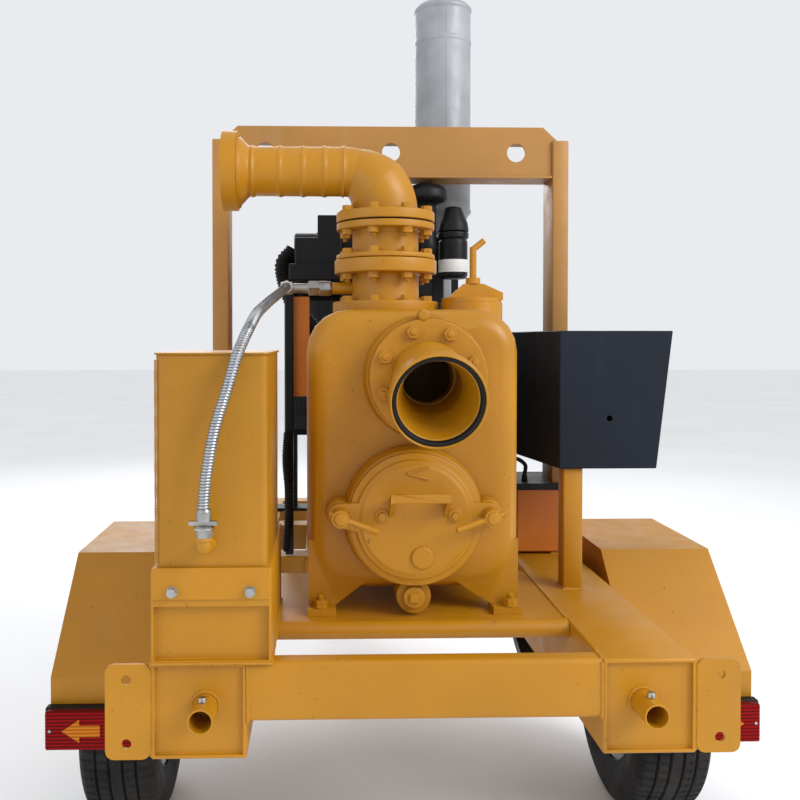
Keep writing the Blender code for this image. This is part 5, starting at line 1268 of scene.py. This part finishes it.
class PUMP_OT_chassis(bpy.types.Operator):
    """Rails, crossbars, deck, drawbar, jack and their welds"""

    bl_idname = "pump.chassis"
    bl_label = "Chassis"

    def execute(self, context):
        build_chassis(context.scene.pump_sizes.weld)
        return {"FINISHED"}


class PUMP_OT_guards(bpy.types.Operator):
    """Mudguards and tail lights"""

    bl_idname = "pump.guards"
    bl_label = "Mudguards"

    def execute(self, context):
        build_guards()
        return {"FINISHED"}


class PUMP_OT_wheels(bpy.types.Operator):
    """Tyres, rims, springs and axle"""

    bl_idname = "pump.wheels"
    bl_label = "Wheels"

    def execute(self, context):
        build_wheels()
        return {"FINISHED"}


class PUMP_OT_arch(bpy.types.Operator):
    """Lifting arch"""

    bl_idname = "pump.arch"
    bl_label = "Arch"

    def execute(self, context):
        build_arch()
        return {"FINISHED"}


class PUMP_OT_tank(bpy.types.Operator):
    """Water tank on its tray"""

    bl_idname = "pump.tank"
    bl_label = "Tank"

    def execute(self, context):
        build_tank()
        return {"FINISHED"}


class PUMP_OT_box(bpy.types.Operator):
    """Control box with its panel"""

    bl_idname = "pump.box"
    bl_label = "Control box"

    def execute(self, context):
        build_box()
        return {"FINISHED"}


class PUMP_OT_casing(bpy.types.Operator):
    """Pump casing with its filler and plug"""

    bl_idname = "pump.casing"
    bl_label = "Casing"

    def execute(self, context):
        build_casing()
        return {"FINISHED"}


class PUMP_OT_suction(bpy.types.Operator):
    """Suction cup and flange"""

    bl_idname = "pump.suction"
    bl_label = "Suction"

    def execute(self, context):
        build_suction()
        return {"FINISHED"}


class PUMP_OT_cover(bpy.types.Operator):
    """Clean-out cover and its clamps"""

    bl_idname = "pump.cover"
    bl_label = "Cover"

    def execute(self, context):
        build_cover()
        return {"FINISHED"}


class PUMP_OT_stack(bpy.types.Operator):
    """Discharge spools and elbow"""

    bl_idname = "pump.stack"
    bl_label = "Stack"

    def execute(self, context):
        build_stack()
        return {"FINISHED"}


class PUMP_OT_engine(bpy.types.Operator):
    """Engine with its pumps, pulleys and hoses"""

    bl_idname = "pump.engine"
    bl_label = "Engine"

    def execute(self, context):
        build_engine()
        return {"FINISHED"}


class PUMP_OT_radiator(bpy.types.Operator):
    """Radiator and fan guard"""

    bl_idname = "pump.radiator"
    bl_label = "Radiator"

    def execute(self, context):
        build_radiator()
        return {"FINISHED"}


class PUMP_OT_breathing(bpy.types.Operator):
    """Air cleaner, rain cap and silencer"""

    bl_idname = "pump.breathing"
    bl_label = "Air and exhaust"

    def execute(self, context):
        build_breathing()
        return {"FINISHED"}


class PUMP_OT_dressing(bpy.types.Operator):
    """Filter, battery, brackets and wiring"""

    bl_idname = "pump.dressing"
    bl_label = "Dressing"

    def execute(self, context):
        build_dressing()
        return {"FINISHED"}


PIECES = [
    PUMP_OT_stage, PUMP_OT_hose, PUMP_OT_chassis, PUMP_OT_guards,
    PUMP_OT_wheels, PUMP_OT_arch, PUMP_OT_tank, PUMP_OT_box,
    PUMP_OT_casing, PUMP_OT_suction, PUMP_OT_cover, PUMP_OT_stack,
    PUMP_OT_engine, PUMP_OT_radiator, PUMP_OT_breathing, PUMP_OT_dressing,
]


class PUMP_PT_panel(bpy.types.Panel):
    """Lists every piece's button and the sizes and colours behind them."""

    bl_idname = "PUMP_PT_panel"
    bl_label = "Trash Pump"
    bl_space_type = "VIEW_3D"
    bl_region_type = "UI"
    bl_category = "Pump"

    def draw(self, context):
        for group in (context.scene.pump_sizes, context.scene.pump_colours):
            for key in group.__annotations__:
                self.layout.prop(group, key)
        for piece in PIECES:
            self.layout.operator(piece.bl_idname)


CLASSES = [PumpColours, PumpSizes, *PIECES, PUMP_PT_panel]


def register():
    """Adds the panel, its buttons and its values."""
    for group in CLASSES:
        bpy.utils.register_class(group)
    bpy.types.Scene.pump_colours = PointerProperty(type=PumpColours)
    bpy.types.Scene.pump_sizes = PointerProperty(type=PumpSizes)


def unregister():
    """Takes them all away again."""
    del bpy.types.Scene.pump_sizes
    del bpy.types.Scene.pump_colours
    for group in reversed(CLASSES):
        bpy.utils.unregister_class(group)


def main():
    """Builds every piece."""
    register()
    for piece in PIECES:
        group, name = piece.bl_idname.split(".")
        getattr(getattr(bpy.ops, group), name)()


if __name__ == "__main__":
    main()
